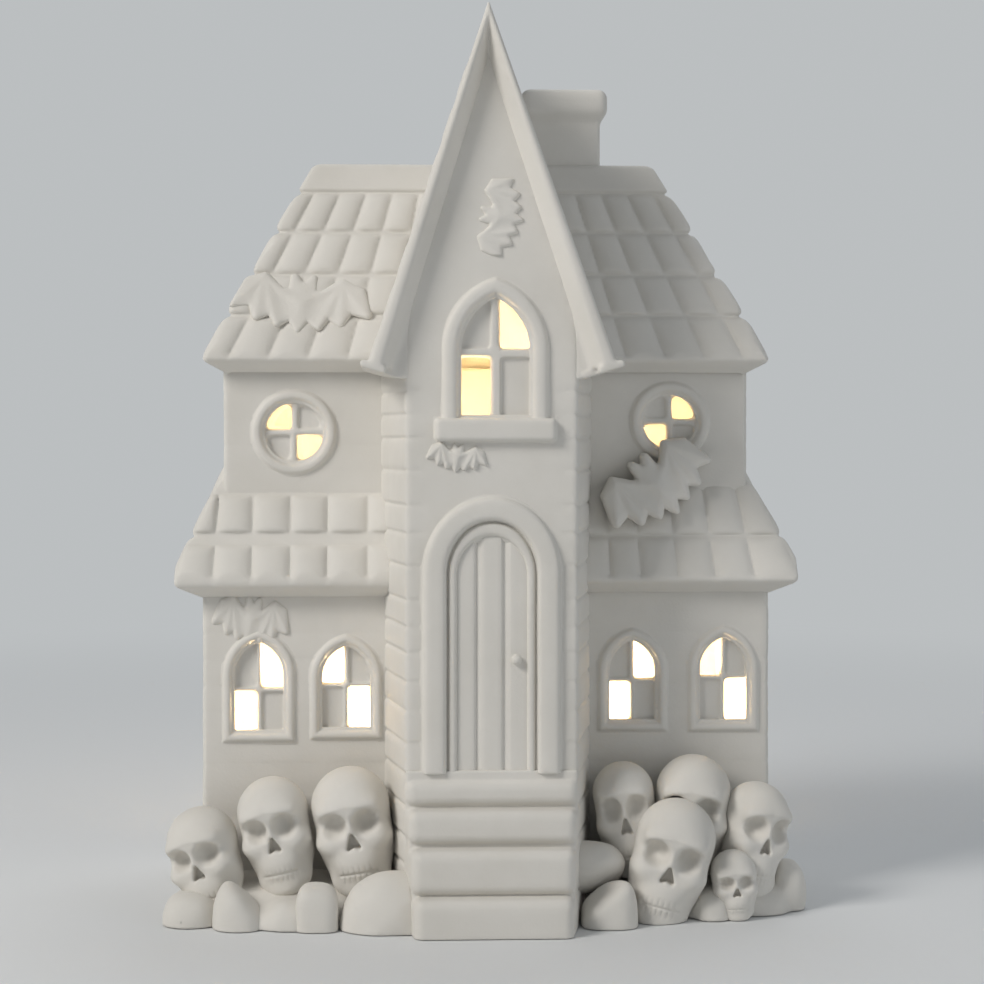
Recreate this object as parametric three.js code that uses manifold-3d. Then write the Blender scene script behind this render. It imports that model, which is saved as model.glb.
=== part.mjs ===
// Ceramic haunted house with a battery light inside.
// Millimetres, +X right, +Y to the back, +Z up. The origin is under the middle of the house.
import * as THREE from 'three';
import { ConvexGeometry } from 'three/addons/geometries/ConvexGeometry.js';
import { mergeVertices } from 'three/addons/utils/BufferGeometryUtils.js';
import Module from 'manifold-3d';

const wasm = await Module();
wasm.setup();

// Driving dimensions of the ceramic
const WALL = 4.5; // slip-cast wall
const SEAM = 0.3; // gap left at each luted seam
const FLOOR_TOP = 5; // thickness of the floor inside

const LOWER_HALF = 97; // lower storey, half width
const LOWER_FRONT = -18; // lower storey, front face
const LOWER_BACK = 66; // lower storey, rear face
const LOWER_TOP = 108;
const STOREY_INSET = 6.5; // the upper storey stands in from the lower one

const SKIRT_REACH = 9; // skirt roof eave past the lower wall
const SKIRT_EAVE = 3; // height of the skirt roof's eave nose
const SKIRT_TOP = 141.5; // where the skirt roof dies into the upper wall

const UPPER_TOP = 182;
const ROOF_REACH = 8.5; // main eave past the upper wall in front and behind
const ROOF_SIDE_REACH = 6.5; // and at the sides
const ROOF_EAVE = 4; // height of the main eave's nose
const ROOF_BAND = 246; // where the tiles end and the smooth cap begins
const ROOF_TOP = 255;
const RIDGE_HALF = 61; // flat top of the main roof, half width
const RIDGE_FRONT = 14;
const RIDGE_BACK = 34;
const ROOF_SHELL = 9; // level thickness of the main roof's sloping wall
const ROOF_COURSES = 4;
const SKIRT_COURSES = 2;
const TILE_PROUD = 1.3; // how far the foot of a tile course stands out
const VALLEY_HALF = 2.2; // half width of the valley between two columns of tiles, at its mouth
const VALLEY_DEEP = 1.4; // level depth of a valley below the slope
const VALLEY_LOW = 0.5; // how far below the tiles' foot and head the valleys start and end
const ROOF_COLUMNS = 7; // valleys to each side of the middle of the main roof's front and back
const ROOF_COLUMN = 0.14; // width of a column there, as a share of the roof's half width
const SIDE_COLUMN = 12.4; // width of a column on the ends of both roofs
const SIDE_NARROWS = 0.69; // and how far it narrows up the main roof
const SKIRT_VALLEY = 40.7; // the skirt roof's first valley from the middle, in front
const SKIRT_COLUMN = 13;
const SKIRT_NARROWS = 0.96;
const SKIRT_HEAD = 1; // how far the head of the skirt roof stands out of the upper wall
const EAVE_TAPER = 1.2; // how far an eave's nose draws in at its underside
const BAND_PROUD = 0.8; // how far the foot of the smooth cap stands out

const TOWER_FRONT = -55;
const TOWER_HALF = 28.2; // half width at the tower's front face
const TOWER_SPLAY = 0.186; // how much each side spreads per millimetre of depth
const TOWER_WALL = 6; // front wall, thicker than the rest for the door niche
const PEAK = 300; // top of the tower roof
const TOWER_EAVE = 180.5; // underside of the tower roof's eaves
const TOWER_EAVE_HALF = 41;
const TOWER_SOFFIT_HALF = 31.7; // inner edge of the tower roof's eaves
const TOWER_RIDGE = 16; // height of the tower roof's ridge above its inner peak
const EAVE_LIP = 1.5; // upright inner edge of the tower roof's eaves
const TOWER_ROOF_REACH = 7; // overhang in front of the tower
const TOWER_ROOF_BACK = 10; // rear face of the tower roof
const REAR_GABLE_FOOT = 240; // lowest point of the rear gable, inside the main roof
const TOWER_TILE_FOOT = 181;
const TOWER_COURSE = 14.6; // height of a tile course on the tower roof
const TOWER_COURSES = 7;
const TOWER_TILE_SINK = 1; // how far the head of such a course lies below the slope
const TOWER_RIM = 4.5; // smooth rim in front of the tiles
const TOWER_COLUMN = 11;
const TOWER_COLUMNS = 5;

const CHIMNEY_X = 29;
const CHIMNEY_Y = 24;
const CHIMNEY_WIDTH = 26;
const CHIMNEY_DEPTH = 15;
const CHIMNEY_TOP = 284.2;
const CHIMNEY_CAP = 7; // height of the cap
const CHIMNEY_CAP_REACH = 2.5;
const FLUE_DEPTH = 16;

// Windows
const FRAME_PROUD = 2; // a frame's reach out of the wall
const RECESS = 2.2; // depth of a window's recess
const LEFT_WINDOWS = [-76.8, -48.5]; // centres of the lower windows
const RIGHT_WINDOWS = [51.3, 80.4];
const WINDOW_HALF = 9.8;
const WINDOW_FOOT = 58.4;
const WINDOW_TOP = 91.6;
const WINDOW_BAR = 74; // height of the cross bar
const WINDOW_FRAME = 3;
const BAR = 2; // width of a glazing bar
const ROUND_LEFT_X = -64.5;
const ROUND_RIGHT_X = 63.5;
const ROUND_Z = 163;
const ROUND_RADIUS = 12;
const ROUND_FRAME = 3.5;
const PANE_INSET = 1.4; // from a recess's edge to its panes
const TALL_HALF = 12.2; // tower window
const TALL_FOOT = 166.8;
const TALL_TOP = 204.6;
const TALL_BAR = 187;
const TALL_FRAME = 4.8;
const SILL_HALF = 19.5;
const SILL_HEIGHT = 7.4;
const SILL_PROUD = 3.4;

// Door and steps
const DOOR_FOOT = 50.6; // level of the doorstep
const DOOR_HALF = 10.9;
const DOOR_TOP = 129;
const JAMB = 3.1; // inner moulding of the door surround
const SURROUND = 8.3; // outer moulding
const SURROUND_PROUD = 2.6;
const NICHE = 3.2; // depth of the door niche
const LEAF_SET_BACK = 0.8; // the door's face behind the tower's
const PLANKS = 3;
const PLANK_GROOVE = 1; // width of the groove between planks
const KNOB_X = 8;
const KNOB_Z = 86.6;
const KNOB_RADIUS = 1.5;
const RISES = [12.2, 14.3, 11.5, 12.6]; // heights of the steps, from the ground up
const TREAD = 5.6;
const LANDING = 3.2; // depth of the top step
const STEP_HALF = 26;
const CURB_HALF = 29.6;
const CURB_BACK = 1.6; // the curbs stand this far behind the step noses
const NOSE = 2.6; // radius of a step's nose
const CURB_NOSE = 1.2;

// Rear opening for the light
const DOORWAY_HALF = 39;
const DOORWAY_TOP = 56;

// Ground mounds
const MOUND_FOOT = 4; // height of a mound's upright rim
const LEFT_MOUND = { x: -70, halfWidth: 37.5, front: -61, height: 16 };
const RIGHT_MOUND = { x: 69, halfWidth: 38.5, front: -59, height: 16 };
const SKULL_WIDTH = 25; // the unit that the skulls and rocks are placed and sized in

// Bats in relief
const BAT_THICK = 2.2;
const BAT_SINK = 4; // how far a bat runs into the roof under it
const WALL_BAT_SPAN = 22;
const WALL_BAT_X = -82;
const WALL_BAT_RISE = 7.9; // centre above the lower windows
const ROOF_BAT_SPAN = 50;
const ROOF_BAT_X = -64;
const ROOF_BAT_RISE = 22.5; // centre above the upper walls
const SKIRT_BAT_SPAN = 38;
const SKIRT_BAT_X = 60;
const SKIRT_BAT_DROP = 2.5; // centre below the head of the skirt roof
const SKIRT_BAT_SET_BACK = 6; // and behind its eave
const SKIRT_BAT_THICK = 4;

// Battery light, around its own axis
const LIGHT_Y = 24;
const LIGHT_RADIUS = 34;
const LIGHT_WALL = 2;
const LIGHT_HEIGHT = 18;
const LIGHT_FIT = 0.3; // running clearance of its moving parts
const PLATE = 2; // bottom plate and battery door
const PLATE_RIM = 1.55; // bottom plate left at the battery door's inner corners
const CELL_ROOM = 2; // from a cell's end to the battery door's inner edge
const BATTERY_RADIUS = 5.25;
const BATTERY_LENGTH = 44.5;
const BATTERY_PITCH = 11.2;
const BATTERY_COUNT = 3;
const TERMINAL_RADIUS = 1.9;
const TERMINAL_HEIGHT = 0.8;
const CONTACT = 0.5; // thickness of a contact strip
const BOARD = 1.4;
const LED_RADIUS = 2.5;
const LED_HEIGHT = 8;
const LED_COUNT = 3;
const LED_CIRCLE = 13;
const DIFFUSER_RADIUS = 29;
const DIFFUSER_WALL = 1.6;
const DIFFUSER_HEIGHT = 20;
const DIFFUSER_STRAIGHT = 6;
const SWITCH_WIDTH = 10;
const SWITCH_TRAVEL = 3;
const KNOB_WIDTH = 3.2;
const KNOB_HEIGHT = 2.4;
const KNOB_REACH = 2; // how far the switch knob stands out of the housing

const FAR = PEAK; // beyond every face, for cutting
const ROUND_SIDES = 28; // sides of a round part
const ARC_SIDES = 7; // sets how finely an arch is drawn
const NOSE_SIDES = 2; // and a step's nose

// Materials
const finish = (color, roughness, metalness = 0) =>
  new THREE.MeshStandardMaterial({ color, roughness, metalness });
const bisque = finish(0xe9e4da, 0.85);
const whitePlastic = finish(0xe6e6e2, 0.5);
const frostedPlastic = finish(0xfff2d8, 0.4);
const blackPlastic = finish(0x1c1c1e, 0.5);
const boardGreen = finish(0x1f5a34, 0.6);
const ledResin = finish(0xf6e7b4, 0.2);
const cellWrap = finish(0x3a6ea5, 0.45);
const nickel = finish(0xb9bbbe, 0.35, 1);

// Solids from three.js geometry
function solid(geometry) {
  geometry.deleteAttribute('normal');
  geometry.deleteAttribute('uv');
  const merged = mergeVertices(geometry, 1e-4);
  const vertProperties = new Float32Array(merged.attributes.position.array);
  const triVerts = new Uint32Array(merged.index.array);
  return new wasm.Manifold(new wasm.Mesh({ numProp: 3, vertProperties, triVerts }));
}

function box(x0, x1, y0, y1, z0, z1) {
  const geometry = new THREE.BoxGeometry(x1 - x0, y1 - y0, z1 - z0);
  return solid(geometry.translate((x0 + x1) / 2, (y0 + y1) / 2, (z0 + z1) / 2));
}

const extrusion = (shape, depth, curveSegments = ARC_SIDES) =>
  new THREE.ExtrudeGeometry(shape, { depth, bevelEnabled: false, curveSegments });

// A front view outline, in x and z, run from y0 back to y1
function prismY(shape, y0, y1) {
  return solid(extrusion(shape, y1 - y0).rotateX(Math.PI / 2).translate(0, y1, 0));
}

// A side view outline, in y and z, run from x0 to x1
function prismX(shape, x0, x1, segments) {
  const turn = new THREE.Matrix4().makeBasis(
    new THREE.Vector3(0, 1, 0),
    new THREE.Vector3(0, 0, 1),
    new THREE.Vector3(1, 0, 0),
  );
  return solid(extrusion(shape, x1 - x0, segments).applyMatrix4(turn).translate(x0, 0, 0));
}

function prismZ(shape, z0, z1) {
  return solid(extrusion(shape, z1 - z0).translate(0, 0, z0));
}

const outline = (points) => new THREE.Shape(points.map(([a, b]) => new THREE.Vector2(a, b)));

// A level rectangle of given half width, front and back
const rect = (half, front, back) => ({ half, front, back });
const grown = (r, by) => rect(r.half + by, r.front - by, r.back + by);
const between = (a, b, t) =>
  rect(
    a.half + (b.half - a.half) * t,
    a.front + (b.front - a.front) * t,
    a.back + (b.back - a.back) * t,
  );

function frustum(low, z0, high, z1) {
  const corners = (r, z) => [
    new THREE.Vector3(-r.half, r.front, z),
    new THREE.Vector3(r.half, r.front, z),
    new THREE.Vector3(r.half, r.back, z),
    new THREE.Vector3(-r.half, r.back, z),
  ];
  return solid(new ConvexGeometry([...corners(low, z0), ...corners(high, z1)]));
}

const block = (r, z0, z1) => box(-r.half, r.half, r.front, r.back, z0, z1);

function ellipsoid(x, y, z, rx, ry, rz, around = 12, up = 8) {
  const ball = new THREE.SphereGeometry(1, around, up).rotateX(Math.PI / 2);
  return solid(ball.scale(rx, ry, rz).translate(x, y, z));
}

// A turned solid about the z axis, from its profile of radius and height
function turned(profile, sides = ROUND_SIDES) {
  const points = profile.map(([r, z]) => new THREE.Vector2(r, z));
  return solid(new THREE.LatheGeometry(points, sides).rotateX(Math.PI / 2));
}

function cylinderZ(x, y, z0, z1, radius, sides = ROUND_SIDES) {
  const geometry = new THREE.CylinderGeometry(radius, radius, z1 - z0, sides);
  return solid(geometry.rotateX(Math.PI / 2).translate(x, y, (z0 + z1) / 2));
}

function cylinderY(x, z, y0, y1, radius, sides = ROUND_SIDES) {
  const geometry = new THREE.CylinderGeometry(radius, radius, y1 - y0, sides);
  return solid(geometry.translate(x, (y0 + y1) / 2, z));
}

// An arch: upright sides and a half round head
function arch(x, half, foot, top) {
  const spring = top - half;
  const shape = new THREE.Shape();
  shape.moveTo(x - half, foot);
  shape.lineTo(x + half, foot);
  shape.lineTo(x + half, spring);
  shape.absarc(x, spring, half, 0, Math.PI, false);
  return shape;
}

const house = new THREE.Group();
const lightUnit = new THREE.Group();
lightUnit.position.set(0, LIGHT_Y, FLOOR_TOP + SEAM);
house.add(lightUnit);

function place(group, name, manifold, material) {
  const { vertProperties, triVerts } = manifold.getMesh();
  const geometry = new THREE.BufferGeometry();
  geometry.setAttribute('position', new THREE.BufferAttribute(new Float32Array(vertProperties), 3));
  geometry.setIndex(new THREE.BufferAttribute(new Uint32Array(triVerts), 1));
  const mesh = new THREE.Mesh(geometry, material);
  mesh.name = name;
  group.add(mesh);
}

const ceramic = (name, manifold) => place(house, name, manifold, bisque);

// Footprints of the two storeys and the roofs that follow them
const lower = rect(LOWER_HALF, LOWER_FRONT, LOWER_BACK);
const upper = grown(lower, -STOREY_INSET);
const skirtEave = grown(lower, SKIRT_REACH);
const roofEave = rect(
  upper.half + ROOF_SIDE_REACH,
  upper.front - ROOF_REACH,
  upper.back + ROOF_REACH,
);
const ridge = rect(RIDGE_HALF, RIDGE_FRONT, RIDGE_BACK);
const upperFoot = LOWER_TOP + SEAM + WALL + SEAM;

// The tower's plan: a front face and two sides that spread towards the back
function towerPlan(front, half, back) {
  const backHalf = half + (back - front) * TOWER_SPLAY;
  return outline([
    [-half, front],
    [half, front],
    [backHalf, back],
    [-backHalf, back],
  ]);
}
const towerBack = upper.front + WALL;
const towerCut = prismZ(
  towerPlan(TOWER_FRONT - SEAM, TOWER_HALF + SEAM, towerBack + WALL),
  -SEAM,
  PEAK,
);

// The tower roof's outer outline, with room around it for what it passes through
function towerRoofOutline(room) {
  const rise = (PEAK - TOWER_EAVE) / TOWER_EAVE_HALF;
  return outline([
    [-TOWER_EAVE_HALF - room, TOWER_EAVE - room],
    [TOWER_EAVE_HALF + room, TOWER_EAVE - room],
    [TOWER_EAVE_HALF + room, TOWER_EAVE + room],
    [0, PEAK + room * rise],
    [-TOWER_EAVE_HALF - room, TOWER_EAVE + room],
  ]);
}
const towerRoofFront = TOWER_FRONT - TOWER_ROOF_REACH;
const towerRoofCut = prismY(towerRoofOutline(SEAM), towerRoofFront, TOWER_ROOF_BACK + SEAM);

// Windows: what is cut out of a wall, and the frame that is set on it
function archedCut(x, half, foot, top, barZ, inset, face, openLeftTop) {
  const recess = prismY(arch(x, half, foot, top), face - 1, face + RECESS);
  const panes = prismY(arch(x, half - inset, foot, top - inset), face, face + 2 * WALL);
  const left = box(x - half, x - BAR / 2, face, face + 2 * WALL, foot - 1, top + 1);
  const right = box(x + BAR / 2, x + half, face, face + 2 * WALL, foot - 1, top + 1);
  const head = box(x - half, x + half, face, face + 2 * WALL, barZ + BAR / 2, top + 1);
  const foots = box(x - half, x + half, face, face + 2 * WALL, foot - 1, barZ - BAR / 2);
  const open = openLeftTop
    ? left.intersect(head).add(right.intersect(foots))
    : right.intersect(head).add(left.intersect(foots));
  return recess.add(panes.intersect(open));
}

function archedFrame(x, half, foot, top, band, face, proud) {
  const outer = prismY(arch(x, half + band, foot - band, top + band), face - proud, face);
  return outer.subtract(prismY(arch(x, half, foot, top), face - proud - 1, face + 1));
}

function roundCut(x, openLeftTop) {
  const face = upper.front;
  const recess = cylinderY(x, ROUND_Z, face - 1, face + RECESS, ROUND_RADIUS);
  const reach = ROUND_RADIUS - PANE_INSET;
  const panes = cylinderY(x, ROUND_Z, face, face + 2 * WALL, reach);
  const side = openLeftTop ? -1 : 1;
  const quarter = (sx, sz) => {
    const a = x + (sx * BAR) / 2;
    const b = x + sx * ROUND_RADIUS;
    const c = ROUND_Z + (sz * BAR) / 2;
    const d = ROUND_Z + sz * ROUND_RADIUS;
    return box(
      Math.min(a, b),
      Math.max(a, b),
      face,
      face + 2 * WALL,
      Math.min(c, d),
      Math.max(c, d),
    );
  };
  return recess.add(panes.intersect(quarter(side, 1).add(quarter(-side, -1))));
}

function roundFrame(x) {
  const face = upper.front;
  const ring = cylinderY(x, ROUND_Z, face - FRAME_PROUD, face, ROUND_RADIUS + ROUND_FRAME);
  return ring.subtract(cylinderY(x, ROUND_Z, face - FRAME_PROUD - 1, face + 1, ROUND_RADIUS));
}

// Walls of a storey: a left and a right casting, each a front and a side, and a rear one
function storeyWalls(plan, z0, z1) {
  const shell = block(plan, z0, z1).subtract(block(grown(plan, -WALL), z0 - 1, z1 + 1));
  const far = plan.half + 1;
  const seam = plan.back - WALL - SEAM;
  const side = (x0, x1) => box(x0, x1, plan.front - 1, seam, z0, z1);
  return {
    left: shell.intersect(side(-far, 0)).subtract(towerCut).subtract(towerRoofCut),
    right: shell.intersect(side(0, far)).subtract(towerCut).subtract(towerRoofCut),
    rear: box(-plan.half, plan.half, plan.back - WALL, plan.back, z0, z1),
  };
}

const lowerWalls = storeyWalls(lower, 0, LOWER_TOP);
const windowCut = (x, openLeftTop) =>
  archedCut(x, WINDOW_HALF, WINDOW_FOOT, WINDOW_TOP, WINDOW_BAR, PANE_INSET / 2, lower.front, openLeftTop);
const windowFrame = (x) =>
  archedFrame(x, WINDOW_HALF, WINDOW_FOOT, WINDOW_TOP, WINDOW_FRAME, lower.front, FRAME_PROUD);
let leftLower = lowerWalls.left;
let rightLower = lowerWalls.right;
LEFT_WINDOWS.forEach((x, i) => {
  leftLower = leftLower.subtract(windowCut(x, i === 1));
  ceramic(`left_window_frame_${i + 1}`, windowFrame(x));
});
RIGHT_WINDOWS.forEach((x, i) => {
  rightLower = rightLower.subtract(windowCut(x, i === 1));
  ceramic(`right_window_frame_${i + 1}`, windowFrame(x));
});
ceramic('left_lower_wall', leftLower);
ceramic('right_lower_wall', rightLower);
const doorway = prismY(
  arch(0, DOORWAY_HALF, FLOOR_TOP, DOORWAY_TOP),
  lower.back - WALL - 1,
  lower.back + 1,
);
ceramic('rear_lower_wall', lowerWalls.rear.subtract(doorway));

const upperWalls = storeyWalls(upper, upperFoot, UPPER_TOP);
ceramic('left_upper_wall', upperWalls.left.subtract(roundCut(ROUND_LEFT_X, true)));
ceramic('right_upper_wall', upperWalls.right.subtract(roundCut(ROUND_RIGHT_X, false)));
ceramic('rear_upper_wall', upperWalls.rear);
ceramic('left_round_window_frame', roundFrame(ROUND_LEFT_X));
ceramic('right_round_window_frame', roundFrame(ROUND_RIGHT_X));

// Floor inside, drawn as the rooms' plan with a tongue into the tower
const floorPlan = grown(lower, -WALL - SEAM);
const tongue = prismZ(
  towerPlan(
    TOWER_FRONT + TOWER_WALL + SEAM,
    TOWER_HALF + TOWER_WALL * TOWER_SPLAY - WALL - SEAM,
    floorPlan.front + 1,
  ),
  0,
  FLOOR_TOP,
);
ceramic('base_floor', block(floorPlan, 0, FLOOR_TOP).add(tongue).subtract(sideRoots()));

// The tower's side walls run in past the wings' front walls, so the floor is cut for them
function sideRoots() {
  const outer = prismZ(
    towerPlan(TOWER_FRONT - SEAM, TOWER_HALF + SEAM, towerBack + SEAM),
    -1,
    FLOOR_TOP + 1,
  );
  const inner = prismZ(
    towerPlan(TOWER_FRONT - 1, TOWER_HALF - WALL - SEAM - TOWER_SPLAY, towerBack + 1),
    -2,
    FLOOR_TOP + 2,
  );
  return outer.subtract(inner);
}

// Tile courses: each is a hipped band whose foot stands out over the course below
function courses(foot, z0, head, z1, count, extra) {
  let band = null;
  for (let i = 0; i < count; i += 1) {
    const t0 = i / count;
    const t1 = (i + 1) / count;
    const low = grown(between(foot, head, t0), TILE_PROUD + extra);
    const high = grown(between(foot, head, t1), extra);
    const course = frustum(low, z0 + (z1 - z0) * t0, high, z0 + (z1 - z0) * t1);
    band = band ? band.add(course) : course;
  }
  return band;
}

// The valley between two columns of tiles: a V cut up a slope from its foot to its head
const acrossX = new THREE.Vector3(1, 0, 0);
const acrossY = new THREE.Vector3(0, 1, 0);
function valley(foot, head, across, out) {
  const low = new THREE.Vector3(0, 0, -VALLEY_LOW);
  const corners = [foot, head].map((end) => end.clone().add(low)).flatMap((end) => [
    end.clone().addScaledVector(across, VALLEY_HALF).addScaledVector(out, 2 * TILE_PROUD),
    end.clone().addScaledVector(across, -VALLEY_HALF).addScaledVector(out, 2 * TILE_PROUD),
    end.clone().addScaledVector(out, -VALLEY_DEEP),
  ]);
  return solid(new ConvexGeometry(corners));
}
const joined = (solids) => solids.reduce((sum, one) => sum.add(one));

// The valleys of a hipped band of tiles. Each place is where a valley starts and ends.
function valleys(foot, z0, head, z1, frontPlaces, backPlaces, endPlaces) {
  const inFront = frontPlaces.map(([low, high]) =>
    valley(
      new THREE.Vector3(low, foot.front, z0),
      new THREE.Vector3(high, head.front, z1),
      acrossX,
      acrossY.clone().negate(),
    ),
  );
  const behind = backPlaces.map(([low, high]) =>
    valley(
      new THREE.Vector3(low, foot.back, z0),
      new THREE.Vector3(high, head.back, z1),
      acrossX,
      acrossY,
    ),
  );
  const ends = [-1, 1].flatMap((side) =>
    endPlaces.map(([low, high]) =>
      valley(
        new THREE.Vector3(side * foot.half, low, z0),
        new THREE.Vector3(side * head.half, high, z1),
        acrossY,
        acrossX.clone().multiplyScalar(side),
      ),
    ),
  );
  return joined([...inFront, ...behind, ...ends]);
}
const steps = (count, step, start = 0) =>
  Array.from({ length: count }, (_, i) => start + step * (i - (count - 1) / 2));

// Skirt roof between the storeys, with the ledge that carries the upper walls
const skirtFoot = LOWER_TOP + SEAM;
function skirtRoof(extra) {
  const nose = frustum(
    grown(skirtEave, extra - EAVE_TAPER),
    skirtFoot,
    grown(skirtEave, extra),
    skirtFoot + SKIRT_EAVE,
  );
  const tiles = courses(
    grown(skirtEave, -TILE_PROUD),
    skirtFoot + SKIRT_EAVE,
    grown(upper, SKIRT_HEAD),
    SKIRT_TOP,
    SKIRT_COURSES,
    extra,
  );
  return nose.add(tiles);
}
const skirtFront = [-1, 1].flatMap((side) =>
  Array.from({ length: 5 }, (_, i) => side * (SKIRT_VALLEY + SKIRT_COLUMN * i)),
);
const middleY = (upper.front + upper.back) / 2;
const skirtValleys = valleys(
  grown(skirtEave, -TILE_PROUD),
  skirtFoot + SKIRT_EAVE,
  grown(upper, SKIRT_HEAD),
  SKIRT_TOP + 1,
  skirtFront.map((x) => [x, x * SKIRT_NARROWS]),
  steps(15, SKIRT_COLUMN).map((x) => [x, x * SKIRT_NARROWS]),
  steps(7, SIDE_COLUMN).map((y) => [middleY + y, middleY + y * SKIRT_NARROWS]),
);
const skirt = skirtRoof(0)
  .subtract(skirtValleys)
  .subtract(block(grown(upper, SEAM), upperFoot - SEAM, SKIRT_TOP + 1))
  .subtract(block(grown(upper, -WALL), skirtFoot - 1, SKIRT_TOP))
  .subtract(towerCut);
const rearSeam = upper.back - WALL;
const everywhere = (x0, x1, y0, y1) => box(x0, x1, y0, y1, -1, PEAK + 1);
const reach = skirtEave.half + 1;
ceramic('left_skirt_roof', skirt.intersect(everywhere(-reach, 0, skirtEave.front - 1, rearSeam - SEAM)));
ceramic('right_skirt_roof', skirt.intersect(everywhere(0, reach, skirtEave.front - 1, rearSeam - SEAM)));
ceramic('rear_skirt_roof', skirt.intersect(everywhere(-reach, reach, rearSeam, skirtEave.back + 1)));

// Main roof: a hollow hipped casting, open below
const roofFoot = UPPER_TOP + SEAM;
const tileFoot = roofFoot + ROOF_EAVE;
const roofBand = between(roofEave, ridge, (ROOF_BAND - tileFoot) / (ROOF_TOP - tileFoot));
function mainRoofOuter(extra) {
  const nose = frustum(
    grown(roofEave, extra - EAVE_TAPER),
    roofFoot,
    grown(roofEave, extra),
    tileFoot,
  );
  const tiles = courses(
    grown(roofEave, -TILE_PROUD),
    tileFoot,
    roofBand,
    ROOF_BAND,
    ROOF_COURSES,
    extra,
  );
  const bandFoot = grown(roofBand, extra + BAND_PROUD);
  const cap = frustum(bandFoot, ROOF_BAND, grown(ridge, extra), ROOF_TOP + extra);
  return nose.add(tiles).add(cap);
}
const mainHollow = frustum(
  grown(upper, -WALL),
  roofFoot - 1,
  grown(roofBand, -ROOF_SHELL),
  ROOF_BAND,
);
const roofValleys = valleys(
  grown(roofEave, -TILE_PROUD),
  tileFoot,
  roofBand,
  ROOF_BAND,
  ...[0, 1].map(() =>
    steps(2 * ROOF_COLUMNS, ROOF_COLUMN).map((share) => [share * roofEave.half, share * roofBand.half]),
  ),
  steps(6, SIDE_COLUMN).map((y) => [middleY + y, middleY + y * SIDE_NARROWS]),
);
ceramic(
  'main_roof',
  mainRoofOuter(0).subtract(roofValleys).subtract(mainHollow).subtract(towerRoofCut),
);

// Tower roof: two steep slopes with a soffit in front and a gable behind
const soffitPeak = PEAK - TOWER_RIDGE;
const soffitRise = (soffitPeak - TOWER_EAVE) / TOWER_SOFFIT_HALF;
const soffit = (room) =>
  outline([
    [-TOWER_SOFFIT_HALF + room, TOWER_EAVE - 1],
    [TOWER_SOFFIT_HALF - room, TOWER_EAVE - 1],
    [TOWER_SOFFIT_HALF - room, TOWER_EAVE + EAVE_LIP],
    [0, soffitPeak - room * soffitRise],
    [-TOWER_SOFFIT_HALF + room, TOWER_EAVE + EAVE_LIP],
  ]);
const towerRoofShell = prismY(towerRoofOutline(0), towerRoofFront, TOWER_ROOF_BACK).subtract(
  prismY(soffit(0), towerRoofFront - 1, TOWER_ROOF_BACK + 1),
);
const rearGable = prismY(soffit(-1), TOWER_ROOF_BACK - WALL, TOWER_ROOF_BACK).intersect(
  box(-TOWER_HALF, TOWER_HALF, TOWER_ROOF_BACK - WALL, TOWER_ROOF_BACK, REAR_GABLE_FOOT, PEAK - 1),
);
const towerSlope = (z) => (TOWER_EAVE_HALF * (PEAK - z)) / (PEAK - TOWER_EAVE);
const towerTilesFront = towerRoofFront + TOWER_RIM;
const towerTilesBack = TOWER_ROOF_BACK - TOWER_RIM / 3;
const towerTileTop = TOWER_TILE_FOOT + TOWER_COURSE * TOWER_COURSES;
const towerMiddle = (towerTilesFront + towerTilesBack) / 2;
const towerTileCuts = [-1, 1].flatMap((side) => {
  const sunk = Array.from({ length: TOWER_COURSES }, (_, i) => {
    const z0 = TOWER_TILE_FOOT + TOWER_COURSE * i;
    const z1 = z0 + TOWER_COURSE;
    const wedge = outline([
      [side * towerSlope(z0), z0],
      [side * (towerSlope(z1) + TOWER_TILE_SINK), z1],
      [side * (towerSlope(z1) - TOWER_TILE_SINK), z1],
    ]);
    return prismY(wedge, towerTilesFront, towerTilesBack);
  });
  const columns = steps(TOWER_COLUMNS, TOWER_COLUMN, towerMiddle).map((y) =>
    valley(
      new THREE.Vector3(side * towerSlope(TOWER_TILE_FOOT), y, TOWER_TILE_FOOT),
      new THREE.Vector3(side * towerSlope(towerTileTop), y, towerTileTop),
      acrossY,
      acrossX.clone().multiplyScalar(side),
    ),
  );
  return [...sunk, ...columns];
});
ceramic('tower_roof', towerRoofShell.subtract(joined(towerTileCuts)).add(rearGable));

// Tower casting: front wall with niche and window, side walls, gable under the roof
const towerOuter = prismZ(towerPlan(TOWER_FRONT, TOWER_HALF, towerBack), 0, PEAK);
const towerInner = prismZ(
  towerPlan(
    TOWER_FRONT + TOWER_WALL,
    TOWER_HALF + TOWER_WALL * TOWER_SPLAY - WALL,
    towerBack + 1,
  ),
  -1,
  PEAK + 1,
);
const underRoof = prismY(soffit(SEAM), TOWER_FRONT - 1, towerBack + 2).add(
  box(-LOWER_HALF, LOWER_HALF, TOWER_FRONT - 1, towerBack + 2, -1, TOWER_EAVE - SEAM),
);
const niche = prismY(
  arch(0, DOOR_HALF + JAMB + SEAM, DOOR_FOOT, DOOR_TOP + JAMB + SEAM),
  TOWER_FRONT - 1,
  TOWER_FRONT + NICHE,
);
const tallCut = archedCut(
  0,
  TALL_HALF,
  TALL_FOOT,
  TALL_TOP,
  TALL_BAR,
  PANE_INSET,
  TOWER_FRONT,
  false,
);
ceramic(
  'tower_casting',
  towerOuter.subtract(towerInner).intersect(underRoof).subtract(niche).subtract(tallCut),
);
const tallFrame = archedFrame(
  0,
  TALL_HALF,
  TALL_FOOT,
  TALL_TOP,
  TALL_FRAME,
  TOWER_FRONT,
  FRAME_PROUD,
).subtract(box(-SILL_HALF, SILL_HALF, TOWER_FRONT - 9, TOWER_FRONT + 1, 0, TALL_FOOT));
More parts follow.
